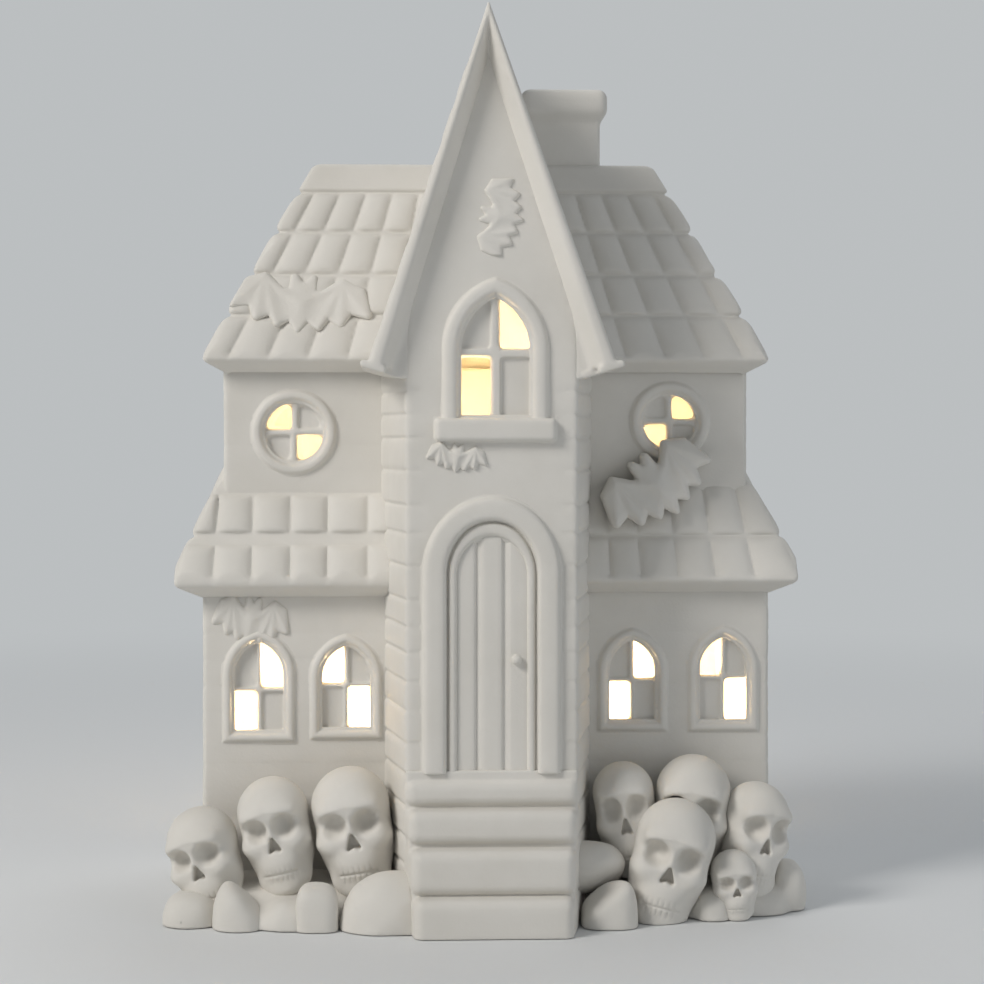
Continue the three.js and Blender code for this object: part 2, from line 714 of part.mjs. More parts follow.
const sill = box(
  -SILL_HALF,
  SILL_HALF,
  TOWER_FRONT - SILL_PROUD,
  TOWER_FRONT,
  TALL_FOOT - SILL_HEIGHT,
  TALL_FOOT,
);
ceramic('tower_window_frame', tallFrame.add(sill));

// Door: a surround of two mouldings, and the plank leaf in its niche
const surroundOuter = prismY(
  arch(0, DOOR_HALF + JAMB + SURROUND, DOOR_FOOT, DOOR_TOP + JAMB + SURROUND),
  TOWER_FRONT - SURROUND_PROUD,
  TOWER_FRONT,
);
const jamb = prismY(
  arch(0, DOOR_HALF + JAMB, DOOR_FOOT, DOOR_TOP + JAMB),
  TOWER_FRONT - SURROUND_PROUD / 2,
  TOWER_FRONT + NICHE,
);
const jambSides = surroundOuter
  .subtract(prismY(
    arch(0, DOOR_HALF + JAMB, DOOR_FOOT - 1, DOOR_TOP + JAMB),
    TOWER_FRONT - SURROUND_PROUD - 1,
    TOWER_FRONT + 1,
  ))
  .add(jamb);
const doorHole = prismY(
  arch(0, DOOR_HALF + SEAM, DOOR_FOOT - 1, DOOR_TOP + SEAM),
  TOWER_FRONT - SURROUND_PROUD - 1,
  TOWER_FRONT + NICHE + 1,
);
ceramic('door_surround', jambSides.subtract(doorHole));

function doorLeaf() {
  const back = TOWER_FRONT + NICHE;
  const front = TOWER_FRONT + LEAF_SET_BACK;
  let leaf = prismY(arch(0, DOOR_HALF, DOOR_FOOT, DOOR_TOP), front, back);
  for (let i = 1; i < PLANKS; i += 1) {
    const x0 = -DOOR_HALF + (2 * DOOR_HALF * i) / PLANKS - PLANK_GROOVE / 2;
    const x1 = x0 + PLANK_GROOVE;
    leaf = leaf.subtract(box(x0, x1, front - 1, front + LEAF_SET_BACK, DOOR_FOOT - 1, DOOR_TOP + 1));
  }
  return leaf.add(ellipsoid(KNOB_X, front, KNOB_Z, KNOB_RADIUS, KNOB_RADIUS, KNOB_RADIUS, 10, 6));
}
ceramic('door', doorLeaf());

// Front steps: rounded treads between two curbs, drawn from the side
const stepsBack = TOWER_FRONT - SEAM;
const stepsFront = TOWER_FRONT - LANDING - TREAD * (RISES.length - 1);
function stepOutline(setBack, drop, nose) {
  const shape = new THREE.Shape();
  shape.moveTo(stepsBack, 0);
  shape.lineTo(stepsFront + setBack, 0);
  let z = 0;
  RISES.forEach((rise, i) => {
    const y = stepsFront + setBack + TREAD * i;
    z += rise;
    shape.lineTo(y, z - drop - nose);
    shape.absarc(y + nose, z - drop - nose, nose, Math.PI, Math.PI / 2, true);
    shape.lineTo(i + 1 < RISES.length ? y + TREAD : stepsBack, z - drop);
  });
  return shape;
}
const treads = prismX(stepOutline(0, 0, NOSE), -STEP_HALF, STEP_HALF, NOSE_SIDES);
const curbs = prismX(
  stepOutline(CURB_BACK, CURB_BACK / 2, CURB_NOSE),
  -CURB_HALF,
  CURB_HALF,
  NOSE_SIDES,
);
ceramic('front_steps', treads.add(curbs));

// Chimney with a cap and a blind flue
const chimney = (() => {
  const x0 = CHIMNEY_X - CHIMNEY_WIDTH / 2;
  const x1 = CHIMNEY_X + CHIMNEY_WIDTH / 2;
  const y0 = CHIMNEY_Y - CHIMNEY_DEPTH / 2;
  const y1 = CHIMNEY_Y + CHIMNEY_DEPTH / 2;
  const r = CHIMNEY_CAP_REACH;
  const shaft = box(x0, x1, y0, y1, ROOF_TOP + SEAM, CHIMNEY_TOP - 1);
  const cap = box(x0 - r, x1 + r, y0 - r, y1 + r, CHIMNEY_TOP - CHIMNEY_CAP, CHIMNEY_TOP);
  const flue = box(
    x0 + WALL,
    x1 - WALL,
    y0 + WALL,
    y1 - WALL,
    CHIMNEY_TOP - FLUE_DEPTH,
    CHIMNEY_TOP + 1,
  );
  return shaft.add(cap).subtract(flue);
})();
ceramic('chimney', chimney);

// Ground: two mounds of rubble, with skulls and rocks resting on them
const wallAndTower = everywhere(-FAR, FAR, lower.front - SEAM, FAR)
  .add(towerCut)
  .add(everywhere(-CURB_HALF - SEAM, CURB_HALF + SEAM, stepsFront - SEAM, 0));

function mound({ x, halfWidth, front, height }, room) {
  const depth = lower.front - front;
  const dome = ellipsoid(
    x,
    lower.front,
    MOUND_FOOT,
    halfWidth + room,
    depth + room,
    height - MOUND_FOOT + room,
    20,
    6,
  );
  const rim = solid(
    new THREE.CylinderGeometry(1, 1, 1, 20)
      .rotateX(Math.PI / 2)
      .scale(halfWidth + room, depth + room, MOUND_FOOT)
      .translate(x, lower.front, MOUND_FOOT / 2),
  );
  return dome.subtract(box(-FAR, FAR, -FAR, FAR, -FAR, MOUND_FOOT / 2)).add(rim);
}

// A skull: brain case, face, brow, cheeks and jaw, with sockets and a nose hole. lean tips its
// top to one side about the middle of the brain case.
function skull({ x, y, z, width, height, turn, lean }, room) {
  const w = width / 2;
  const h = height / 2;
  const crownUp = h * 0.375;
  const forward = (side, out, up) => {
    const aside = side * Math.cos(lean) - (up - crownUp) * Math.sin(lean);
    const risen = (up - crownUp) * Math.cos(lean) + side * Math.sin(lean);
    return [
      x + aside * Math.cos(turn) + out * Math.sin(turn),
      y + aside * Math.sin(turn) - out * Math.cos(turn),
      z + crownUp + risen,
    ];
  };
  const part = (side, out, up, rx, ry, rz, around, rows) =>
    ellipsoid(...forward(side, out, up), rx + room, ry + room, rz + room, around, rows);
  const crown = part(0, w * 0.12, crownUp, w, w * 1.14, h * 0.625, 12, 8);
  const face = part(0, w * 0.06, -h * 0.12, w * 0.95, w * 0.92, h * 0.76, 12, 8);
  const jaw = part(0, w * 0.3, -h * 0.72, w * 0.7, w * 0.56, h * 0.28, 10, 5);
  const head = crown.add(face).add(jaw);
  if (room > 0) return head;
  const socket = (side) => part(side * w * 0.42, w * 0.98, h * 0.18, w * 0.3, w * 0.4, h * 0.18, 8, 5);
  const nose = part(0, w * 1.02, -h * 0.13, w * 0.15, w * 0.32, h * 0.13, 6, 4);
  return head.subtract(socket(-1)).subtract(socket(1)).subtract(nose);
}

const boulder = ({ x, y, z, width, height, depth }, room) =>
  ellipsoid(x, y, z, width / 2 + room, depth / 2 + room, height / 2 + room, 10, 6);

const belowGround = box(-FAR, FAR, -FAR, FAR, -FAR, 0);

// Each piece is cut for the wall and for the pieces placed before it
function settle(prefix, pieces, ground) {
  const unit = SKULL_WIDTH;
  const placed = [(room) => mound(ground, room)];
  ceramic(`${prefix}_mound`, mound(ground, 0).subtract(wallAndTower));
  for (const [name, form, ratio] of pieces) {
    const spec = {
      x: ground.x + ratio.across * unit,
      y: lower.front - ratio.out * unit,
      z: ratio.up * unit,
      width: ratio.width * unit,
      height: ratio.height * unit,
      depth: ratio.depth * unit,
      turn: ratio.turn,
      lean: ratio.lean,
    };
    let shape = form(spec, 0).subtract(wallAndTower).subtract(belowGround);
    for (const other of placed) shape = shape.subtract(other(SEAM));
    placed.push((room) => form(spec, room));
    ceramic(name, shape);
  }
}

settle(
  'left',
  [
    [
      'left_skull_1',
      skull,
      { across: -1.036, out: 0.72, up: 0.72, width: 0.928, height: 1.53, turn: -0.08, lean: 0.3 },
    ],
    [
      'left_skull_2',
      skull,
      { across: -0.1, out: 0.68, up: 1.06, width: 0.944, height: 1.54, turn: -0.11, lean: 0.24 },
    ],
    [
      'left_skull_3',
      skull,
      { across: 0.94, out: 0.68, up: 1.12, width: 1.048, height: 1.676, turn: -0.06, lean: 0.18 },
    ],
    ['left_rock_1', boulder, { across: -0.48, out: 1.4, up: 0.1, width: 0.69, height: 1.07, depth: 0.72 }],
    ['left_rock_2', boulder, { across: 0.54, out: 1.56, up: 0.12, width: 0.58, height: 0.98, depth: 0.58 }],
    [
      'left_rock_3',
      boulder,
      { across: 1.54, out: 1.52, up: -0.04, width: 1.44, height: 1.55, depth: 1.04 },
    ],
  ],
  LEFT_MOUND,
);
settle(
  'right',
  [
    [
      'right_skull_1',
      skull,
      { across: -0.956, out: 0.58, up: 1.216, width: 0.824, height: 1.544, turn: -0.13, lean: 0.13 },
    ],
    [
      'right_skull_2',
      skull,
      { across: 0, out: 0.52, up: 1.256, width: 1.016, height: 1.624, turn: -0.14, lean: -0.1 },
    ],
    [
      'right_skull_3',
      skull,
      { across: -0.312, out: 1.12, up: 0.72, width: 1.056, height: 1.712, turn: -0.12, lean: -0.25 },
    ],
    [
      'right_skull_4',
      skull,
      { across: 0.856, out: 0.64, up: 0.952, width: 0.864, height: 1.524, turn: 0.32, lean: -0.17 },
    ],
    [
      'right_skull_5',
      skull,
      { across: 0.456, out: 1.12, up: 0.444, width: 0.608, height: 0.904, turn: -0.02, lean: 0.07 },
    ],
    [
      'right_rock_1',
      boulder,
      { across: -1.456, out: 1.08, up: 0.66, width: 0.96, height: 0.72, depth: 0.72 },
    ],
    [
      'right_rock_2',
      boulder,
      { across: -1.232, out: 1.52, up: 0.1, width: 0.736, height: 1.04, depth: 0.64 },
    ],
  ],
  RIGHT_MOUND,
);

// Bats in relief. The half outline runs from the tail round the wing to between the ears,
// for a bat two wide and about one high.
const BAT_HALF = [
  [0, -0.42],
  [0.12, -0.2],
  [0.3, -0.34],
  [0.42, -0.14],
  [0.62, -0.26],
  [0.72, -0.02],
  [1, -0.08],
  [0.86, 0.32],
  [0.58, 0.44],
  [0.3, 0.2],
  [0.16, 0.22],
  [0.14, 0.46],
  [0.05, 0.34],
];
function batOutline(span) {
  const scale = span / 2;
  const right = BAT_HALF.map(([a, b]) => [a * scale, b * scale]);
  const left = BAT_HALF.slice(1)
    .reverse()
    .map(([a, b]) => [-a * scale, b * scale]);
  return outline([...right, ...left]);
}
// Drawn flat, raised by its thickness, tilted in its plane, leant back to the surface and moved there
function bat({ x, y, z, span, tilt, lean, thick, sink }) {
  const geometry = extrusion(batOutline(span), thick + sink)
    .translate(0, 0, -sink)
    .rotateZ(tilt)
    .rotateX(Math.PI / 2 - lean)
    .translate(x, y, z);
  return solid(geometry);
}

const wallBat = { lean: 0, thick: BAT_THICK, sink: 0 };
const doorSurroundTop = DOOR_TOP + JAMB + SURROUND;
const towerBatRoom = TALL_FOOT - SILL_HEIGHT - doorSurroundTop;
const towerBat = {
  x: -0.6 * towerBatRoom,
  y: TOWER_FRONT,
  z: doorSurroundTop + 0.61 * towerBatRoom,
  span: 1.08 * towerBatRoom,
  tilt: -0.12,
};
ceramic('tower_bat', bat({ ...towerBat, ...wallBat }));
const gableRoom = soffitPeak - TALL_TOP;
const gableBat = {
  x: 0.045 * gableRoom,
  y: TOWER_FRONT,
  z: TALL_TOP + gableRoom / 3,
  span: 0.34 * gableRoom,
  tilt: 1.1,
};
ceramic('gable_bat', bat({ ...gableBat, ...wallBat }));
const windowFrameRoom = prismY(
  arch(
    LEFT_WINDOWS[0],
    WINDOW_HALF + WINDOW_FRAME + SEAM,
    WINDOW_FOOT,
    WINDOW_TOP + WINDOW_FRAME + SEAM,
  ),
  lower.front - 9,
  lower.front + 1,
);
const wallBatAt = { x: WALL_BAT_X, y: lower.front, z: WINDOW_TOP + WALL_BAT_RISE };
ceramic(
  'wall_bat',
  bat({ ...wallBatAt, span: WALL_BAT_SPAN, tilt: -0.15, ...wallBat })
    .subtract(skirtRoof(SEAM))
    .subtract(windowFrameRoom),
);
const roofRun = ridge.front - roofEave.front;
const roofRise = ROOF_TOP - tileFoot;
const roofBatZ = UPPER_TOP + ROOF_BAT_RISE;
const roofBat = {
  x: ROOF_BAT_X,
  y: roofEave.front + (roofRun * (roofBatZ - tileFoot)) / roofRise,
  z: roofBatZ,
  span: ROOF_BAT_SPAN,
  tilt: -0.1,
  lean: Math.atan2(roofRun, roofRise),
  thick: BAT_THICK,
  sink: BAT_SINK,
};
ceramic('roof_bat', bat(roofBat).subtract(mainRoofOuter(SEAM)));
const skirtBat = {
  x: SKIRT_BAT_X,
  y: skirtEave.front + SKIRT_BAT_SET_BACK,
  z: SKIRT_TOP - SKIRT_BAT_DROP,
  span: SKIRT_BAT_SPAN,
  tilt: 0.45,
  lean: 0.28,
  thick: SKIRT_BAT_THICK,
  sink: 2 * BAT_SINK,
};
const roundFrameRoom = cylinderY(
  ROUND_RIGHT_X,
  ROUND_Z,
  upper.front - FRAME_PROUD - SEAM,
  upper.front,
  ROUND_RADIUS + ROUND_FRAME + SEAM,
);
ceramic(
  'skirt_bat',
  bat(skirtBat)
    .subtract(skirtRoof(SEAM))
    .subtract(everywhere(-FAR, FAR, upper.front - SEAM, FAR))
    .subtract(roundFrameRoom),
);

// Battery light: housing with a deck, open below for the cells
const inner = LIGHT_RADIUS - LIGHT_WALL;
const deck = LIGHT_HEIGHT - LIGHT_WALL;
const doorTop = LIGHT_FIT + PLATE;
const doorFront = -BATTERY_LENGTH / 2 - CELL_ROOM;
const cornerReach = inner - LIGHT_FIT - PLATE_RIM;
const doorHalf = Math.sqrt(cornerReach ** 2 - (doorFront - LIGHT_FIT) ** 2) - LIGHT_FIT;
const switchZ = (doorTop + deck) / 2;
const housing = (() => {
  let shape = turned([
    [LIGHT_RADIUS, 0],
    [LIGHT_RADIUS, LIGHT_HEIGHT],
    [0, LIGHT_HEIGHT],
    [0, deck],
    [inner, deck],
    [inner, 0],
    [LIGHT_RADIUS, 0],
  ]);
  for (let i = 0; i < LED_COUNT; i += 1) {
    const [x, y] = ledSpot(i);
    shape = shape.subtract(cylinderZ(x, y, deck - 1, LIGHT_HEIGHT + 1, LED_RADIUS + LIGHT_FIT, 16));
  }
  const slot = KNOB_WIDTH / 2 + SWITCH_TRAVEL / 2 + 1;
  const half = KNOB_HEIGHT / 2 + LIGHT_FIT;
  const opening = box(-slot, slot, inner - 3, LIGHT_RADIUS + 1, switchZ - half, switchZ + half);
  const mouth = box(
    -doorHalf - LIGHT_FIT,
    doorHalf + LIGHT_FIT,
    0,
    LIGHT_RADIUS + 1,
    -1,
    doorTop + LIGHT_FIT,
  );
  return shape.subtract(opening).subtract(mouth);
})();
function ledSpot(i) {
  const angle = -Math.PI / 2 + (2 * Math.PI * i) / LED_COUNT;
  return [LED_CIRCLE * Math.cos(angle), LED_CIRCLE * Math.sin(angle)];
}
place(lightUnit, 'light_housing', housing, whitePlastic);

const plateGap = box(
  -doorHalf - LIGHT_FIT,
  doorHalf + LIGHT_FIT,
  doorFront - LIGHT_FIT,
  LIGHT_RADIUS + 1,
  0,
  doorTop + 1,
);
const plate = cylinderZ(0, 0, LIGHT_FIT, doorTop, inner - LIGHT_FIT).subtract(plateGap);
place(lightUnit, 'light_bottom_plate', plate, whitePlastic);
const batteryDoor = cylinderZ(0, 0, LIGHT_FIT, doorTop, LIGHT_RADIUS).intersect(
  box(-doorHalf, doorHalf, doorFront, LIGHT_RADIUS + 1, 0, doorTop + 1),
);
place(lightUnit, 'battery_door', batteryDoor, whitePlastic);

const cellZ = doorTop + 2 * LIGHT_FIT + BATTERY_RADIUS;
function cell(x) {
  const half = BATTERY_LENGTH / 2;
  const geometry = new THREE.LatheGeometry(
    [
      [0, -half],
      [BATTERY_RADIUS, -half],
      [BATTERY_RADIUS, half - TERMINAL_HEIGHT],
      [TERMINAL_RADIUS, half - TERMINAL_HEIGHT],
      [TERMINAL_RADIUS, half],
      [0, half],
    ].map(([r, y]) => new THREE.Vector2(r, y)),
    20,
  );
  return solid(geometry.translate(x, 0, cellZ));
}
for (let i = 0; i < BATTERY_COUNT; i += 1) {
  const x = (i - (BATTERY_COUNT - 1) / 2) * BATTERY_PITCH;
  place(lightUnit, `battery_${i + 1}`, cell(x), cellWrap);
}
const stripHalf = ((BATTERY_COUNT - 1) / 2) * BATTERY_PITCH + BATTERY_RADIUS - 1;
const stripNear = BATTERY_LENGTH / 2 + LIGHT_FIT;
const stripTop = cellZ + BATTERY_RADIUS - 1;
const strip = (y) =>
  box(-stripHalf, stripHalf, y, y + CONTACT, cellZ - BATTERY_RADIUS + 1, stripTop);
place(lightUnit, 'front_contact', strip(-stripNear - CONTACT), nickel);
place(lightUnit, 'rear_contact', strip(stripNear), nickel);

const boardFoot = cellZ + BATTERY_RADIUS + LIGHT_FIT;
const board = cylinderZ(0, 0, boardFoot, boardFoot + BOARD, inner - LIGHT_FIT);
place(lightUnit, 'circuit_board', board, boardGreen);
for (let i = 0; i < LED_COUNT; i += 1) {
  const [x, y] = ledSpot(i);
  const foot = boardFoot + BOARD + LIGHT_FIT;
  const straight = foot + LED_HEIGHT - LED_RADIUS;
  const led = cylinderZ(x, y, foot, straight, LED_RADIUS, 12).add(
    ellipsoid(x, y, straight, LED_RADIUS * 0.99, LED_RADIUS * 0.99, LED_RADIUS, 12, 6),
  );
  place(lightUnit, `led_${i + 1}`, led, ledResin);
}

function domeProfile(radius, foot, straight, height, points) {
  const profile = [[radius, foot]];
  for (let i = 0; i <= points; i += 1) {
    const angle = ((Math.PI / 2) * i) / points;
    profile.push([radius * Math.cos(angle), straight + (height - straight) * Math.sin(angle)]);
  }
  profile[profile.length - 1][0] = 0;
  return profile;
}
const diffuserFoot = LIGHT_HEIGHT + SEAM;
const diffuser = turned([
  ...domeProfile(
    DIFFUSER_RADIUS,
    diffuserFoot,
    diffuserFoot + DIFFUSER_STRAIGHT,
    diffuserFoot + DIFFUSER_HEIGHT,
    7,
  ),
  ...domeProfile(
    DIFFUSER_RADIUS - DIFFUSER_WALL,
    diffuserFoot,
    diffuserFoot + DIFFUSER_STRAIGHT,
    diffuserFoot + DIFFUSER_HEIGHT - DIFFUSER_WALL,
    7,
  ).reverse(),
  [DIFFUSER_RADIUS, diffuserFoot],
]);
place(lightUnit, 'light_diffuser', diffuser, frostedPlastic);

const switchNear = stripNear + CONTACT + LIGHT_FIT;
const switchFar = Math.sqrt((inner - LIGHT_FIT) ** 2 - (SWITCH_WIDTH / 2) ** 2);
const switchBody = box(
  -SWITCH_WIDTH / 2,
  SWITCH_WIDTH / 2,
  switchNear,
  switchFar,
  switchZ - KNOB_HEIGHT,
  switchZ + KNOB_HEIGHT,
);
place(lightUnit, 'switch_body', switchBody, blackPlastic);
const knobX = -SWITCH_TRAVEL / 2;
const knob = box(
  knobX - KNOB_WIDTH / 2,
  knobX + KNOB_WIDTH / 2,
  switchFar + LIGHT_FIT,
  LIGHT_RADIUS + KNOB_REACH,
  switchZ - KNOB_HEIGHT / 2,
  switchZ + KNOB_HEIGHT / 2,
);
place(lightUnit, 'switch_knob', knob, blackPlastic);

export default house;
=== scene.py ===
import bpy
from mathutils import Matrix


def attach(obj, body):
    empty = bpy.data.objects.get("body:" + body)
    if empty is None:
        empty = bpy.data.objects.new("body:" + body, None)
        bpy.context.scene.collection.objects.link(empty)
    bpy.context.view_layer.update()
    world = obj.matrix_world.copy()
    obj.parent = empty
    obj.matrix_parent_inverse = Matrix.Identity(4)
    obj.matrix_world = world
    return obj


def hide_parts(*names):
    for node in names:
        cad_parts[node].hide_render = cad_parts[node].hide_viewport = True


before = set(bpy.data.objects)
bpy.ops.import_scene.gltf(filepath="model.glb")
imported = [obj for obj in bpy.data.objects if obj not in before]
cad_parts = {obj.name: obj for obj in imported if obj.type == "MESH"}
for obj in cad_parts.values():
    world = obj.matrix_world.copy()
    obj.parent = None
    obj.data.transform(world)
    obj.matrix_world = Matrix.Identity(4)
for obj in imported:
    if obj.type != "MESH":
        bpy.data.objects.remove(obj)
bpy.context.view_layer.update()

import math

import bpy
import numpy as np
import openvdb
from mathutils import Vector

# Shapes are distance fields in millimetres on open grids of x, y and z. +X is right, +Y the back, +Z up.
MM = 0.001
MERGE = 0.02     # how freely the mesher joins nearly flat faces
FAR = 400.0      # farther away than anything in the house
JOIN = 0.04      # how far a piece's joining skin lies inside its neighbour
APART = 0.03     # how far apart two faces stand that would otherwise lie in one
GROUND = 0.2     # how far the looks stop above the underside of the solids


# Distance fields
def soft_min(a, b, size):
    """Two shapes joined, with a fillet of about that size between them."""
    near = np.maximum(size - np.abs(a - b), 0)
    return np.minimum(a, b) - near * near * (0.25 / size)


def soft_max(a, b, size):
    """What two shapes share, with the edge between them softened."""
    near = np.maximum(size - np.abs(a - b), 0)
    return np.maximum(a, b) + near * near * (0.25 / size)


def length(*parts):
    total = parts[0] * parts[0]
    for part in parts[1:]:
        total = total + part * part
    return np.sqrt(total)


def rounded(a, b, r):
    """Two distances joined at a corner of radius r."""
    a, b = a + r, b + r
    return length(np.maximum(a, 0), np.maximum(b, 0)) + np.minimum(np.maximum(a, b), 0) - r


def rect(a, b, half_a, half_b, r):
    """A rectangle round the middle, with rounded corners."""
    return rounded(np.abs(a) - half_a, np.abs(b) - half_b, r)


def plan(x, y, size, inset, r):
    """The plan of a storey or roof, drawn in by inset. size is its half width, front and back."""
    half, front, back = size
    return rect(x, y - (front + back) / 2, half - inset, (back - front) / 2 - inset, r)


def block(x, y, z, low, high, r):
    """A rounded box between two corners."""
    middle = [(p + q) / 2 for p, q in zip(low, high)]
    half = [(q - p) / 2 - r for p, q in zip(low, high)]
    out = [np.abs(v - m) - h for v, m, h in zip((x, y, z), middle, half)]
    outside = length(*[np.maximum(v, 0) for v in out])
    return outside + np.minimum(np.maximum(np.maximum(out[0], out[1]), out[2]), 0) - r


def ellipsoid(x, y, z, centre, radii):
    scaled = [(v - c) / r for v, c, r in zip((x, y, z), centre, radii)]
    reach = length(*scaled)
    steepness = length(*[v / r for v, r in zip(scaled, radii)])
    return reach * (reach - 1) / np.maximum(steepness, 1e-4)


def arch(x, z, half, foot, top, point=0.0):
    """An arched light. point moves the two centres of the arch apart, which makes its top pointed."""
    spring = top - math.sqrt((half + point) ** 2 - point ** 2)
    head = length(np.abs(x) + point, np.maximum(z - spring, 0)) - half - point
    head = np.where(z < spring, np.abs(x) - half, head)
    return np.maximum(head, foot - z)


def polygon(a, b, points):
    """A closed outline of straight sides: negative inside it."""
    near = np.float32(1e9)
    side = np.float32(1)
    for (pa, pb), (qa, qb) in zip(points, points[1:] + points[:1]):
        ea, eb = qa - pa, qb - pb
        wa, wb = a - pa, b - pb
        t = np.clip((wa * ea + wb * eb) / (ea * ea + eb * eb), 0, 1)
        near = np.minimum(near, (wa - ea * t) ** 2 + (wb - eb * t) ** 2)
        up, down, left = b >= pb, b < qb, ea * wb > eb * wa
        side = np.where((up & down & left) | (~up & ~down & ~left), -side, side)
    return side * np.sqrt(near)


def segment(a, b, p, q):
    """Distance from the straight line between the points p and q."""
    ea, eb = q[0] - p[0], q[1] - p[1]
    wa, wb = a - p[0], b - p[1]
    t = np.clip((wa * ea + wb * eb) / (ea * ea + eb * eb), 0, 1)
    return length(wa - ea * t, wb - eb * t)


def wobble(x, y, z, size):
    """The slight unevenness of a hand finished casting."""
    a = np.sin(x * 0.17 + 0.7) * np.sin(z * 0.14 + 1.3)
    b = np.sin(y * 0.19 + 2.1) * np.sin(z * 0.21 + 0.4)
    return (a + b) * size


# Meshes
def mesh_object(name, points, triangles, quads):
    """A smooth mesh in the scene, from the grid's triangles and quads."""
    threes, fours = len(triangles), len(quads)
    mesh = bpy.data.meshes.new(name)
    mesh.vertices.add(len(points))
    mesh.vertices.foreach_set("co", np.ascontiguousarray(points, np.float32).ravel())
    mesh.loops.add(3 * threes + 4 * fours)
    corners = np.concatenate([np.ravel(triangles), np.ravel(quads)]).astype(np.int32)
    mesh.loops.foreach_set("vertex_index", corners)
    mesh.polygons.add(threes + fours)
    starts = np.concatenate([np.arange(threes) * 3, 3 * threes + np.arange(fours) * 4]).astype(np.int32)
    mesh.polygons.foreach_set("loop_start", starts)
    mesh.polygons.foreach_set("use_smooth", np.ones(threes + fours, bool))
    mesh.update(calc_edges=True)
    piece = bpy.data.objects.new(name, mesh)
    bpy.context.scene.collection.objects.link(piece)
    return piece


def surface(name, low, high, field, step):
    """The zero surface of a field, meshed on a grid of that step between two corners."""
    axes = [
        np.arange(p, q + step, step, dtype=np.float32).reshape(shape)
        for p, q, shape in zip(low, high, ((-1, 1, 1), (1, -1, 1), (1, 1, -1)))
    ]
    full = tuple(axis.size for axis in axes)
    distance = np.array(np.broadcast_to(field(*axes), full), dtype=np.float32)
    np.clip(distance, -3 * step, 3 * step, out=distance)
    for axis in range(3):
        for end in (0, -1):
            face = [slice(None)] * 3
            face[axis] = end
            distance[tuple(face)] = step
    grid = openvdb.FloatGrid(3 * step)
    grid.copyFromArray(distance)
    points, triangles, quads = grid.convertToPolygons(0.0, MERGE)
    return mesh_object(name, (points * step + np.array(low)) * MM, triangles, quads)


def cast(node, low, high, field, step=0.5):
    """One closed ceramic piece in place of one solid of the house."""
    piece = surface(node + "_cast", low, high, field, step)
    piece.data.materials.append(bisque)
    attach(piece, "house")
    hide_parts(node)


# Materials
def material(name):
    made = bpy.data.materials.new(name)
    made.use_nodes = True
    shader = next(n for n in made.node_tree.nodes if n.type == "BSDF_PRINCIPLED")
    return made, made.node_tree, shader


def grain(tree, shader, colours, scale, bump, distance):
    """A colour that drifts between two tones, and a fine grain in the surface."""
    place = tree.nodes.new("ShaderNodeTexCoord")
    drift = tree.nodes.new("ShaderNodeTexNoise")
    drift.inputs["Scale"].default_value = scale
    drift.inputs["Detail"].default_value = 5
    drift.inputs["Roughness"].default_value = 0.6
    tree.links.new(place.outputs["Object"], drift.inputs["Vector"])
    ramp = tree.nodes.new("ShaderNodeValToRGB")
    for element, position, colour in zip(ramp.color_ramp.elements, (0.3, 0.7), colours):
        element.position = position
        element.color = (*colour, 1)
    tree.links.new(drift.outputs["Fac"], ramp.inputs["Fac"])
    tree.links.new(ramp.outputs["Color"], shader.inputs["Base Color"])
    fine = tree.nodes.new("ShaderNodeTexNoise")
    fine.inputs["Scale"].default_value = scale * 40
    fine.inputs["Detail"].default_value = 3
    tree.links.new(place.outputs["Object"], fine.inputs["Vector"])
    relief = tree.nodes.new("ShaderNodeBump")
    relief.inputs["Strength"].default_value = bump
    relief.inputs["Distance"].default_value = distance
    tree.links.new(fine.outputs["Fac"], relief.inputs["Height"])
    tree.links.new(relief.outputs["Normal"], shader.inputs["Normal"])


def painted(name, roughness, colours, scale, bump, distance=0.00005):
    """A material of two close tones, and its shader."""
    made, tree, shader = material(name)
    shader.inputs["Roughness"].default_value = roughness
    grain(tree, shader, colours, scale, bump, distance)
    return made, shader


def glow(shader, colour, strength):
    shader.inputs["Emission Color"].default_value = (*colour, 1)
    shader.inputs["Emission Strength"].default_value = strength


BISQUE_TONES = ((0.70, 0.675, 0.625), (0.76, 0.735, 0.69))
bisque, shader = painted("bisque_ceramic", 0.78, BISQUE_TONES, 30, 0.25, distance=0.0002)
shader.inputs["Specular IOR Level"].default_value = 0.3

white_plastic, _ = painted("white_plastic", 0.42, ((0.72, 0.72, 0.70), (0.76, 0.76, 0.74)), 60, 0.1)

frosted, shader = painted("frosted_plastic", 0.5, ((0.80, 0.74, 0.62), (0.84, 0.78, 0.68)), 60, 0.1)
glow(shader, (1.0, 0.72, 0.38), 85)

black_plastic, _ = painted("black_plastic", 0.45, ((0.012, 0.012, 0.013), (0.02, 0.02, 0.021)), 120, 0.15)

board_green, _ = painted("circuit_board", 0.4, ((0.012, 0.09, 0.03), (0.02, 0.13, 0.045)), 200, 0.2)

led_resin, shader = painted("led_resin", 0.15, ((0.85, 0.68, 0.3), (0.9, 0.75, 0.4)), 80, 0.05)
glow(shader, (1.0, 0.7, 0.3), 30)

cell_wrap, _ = painted("cell_wrap", 0.35, ((0.03, 0.09, 0.28), (0.05, 0.13, 0.36)), 90, 0.1)

nickel, shader = painted("nickel_plate", 0.3, ((0.55, 0.54, 0.52), (0.66, 0.65, 0.62)), 150, 0.2)
shader.inputs["Metallic"].default_value = 1.0

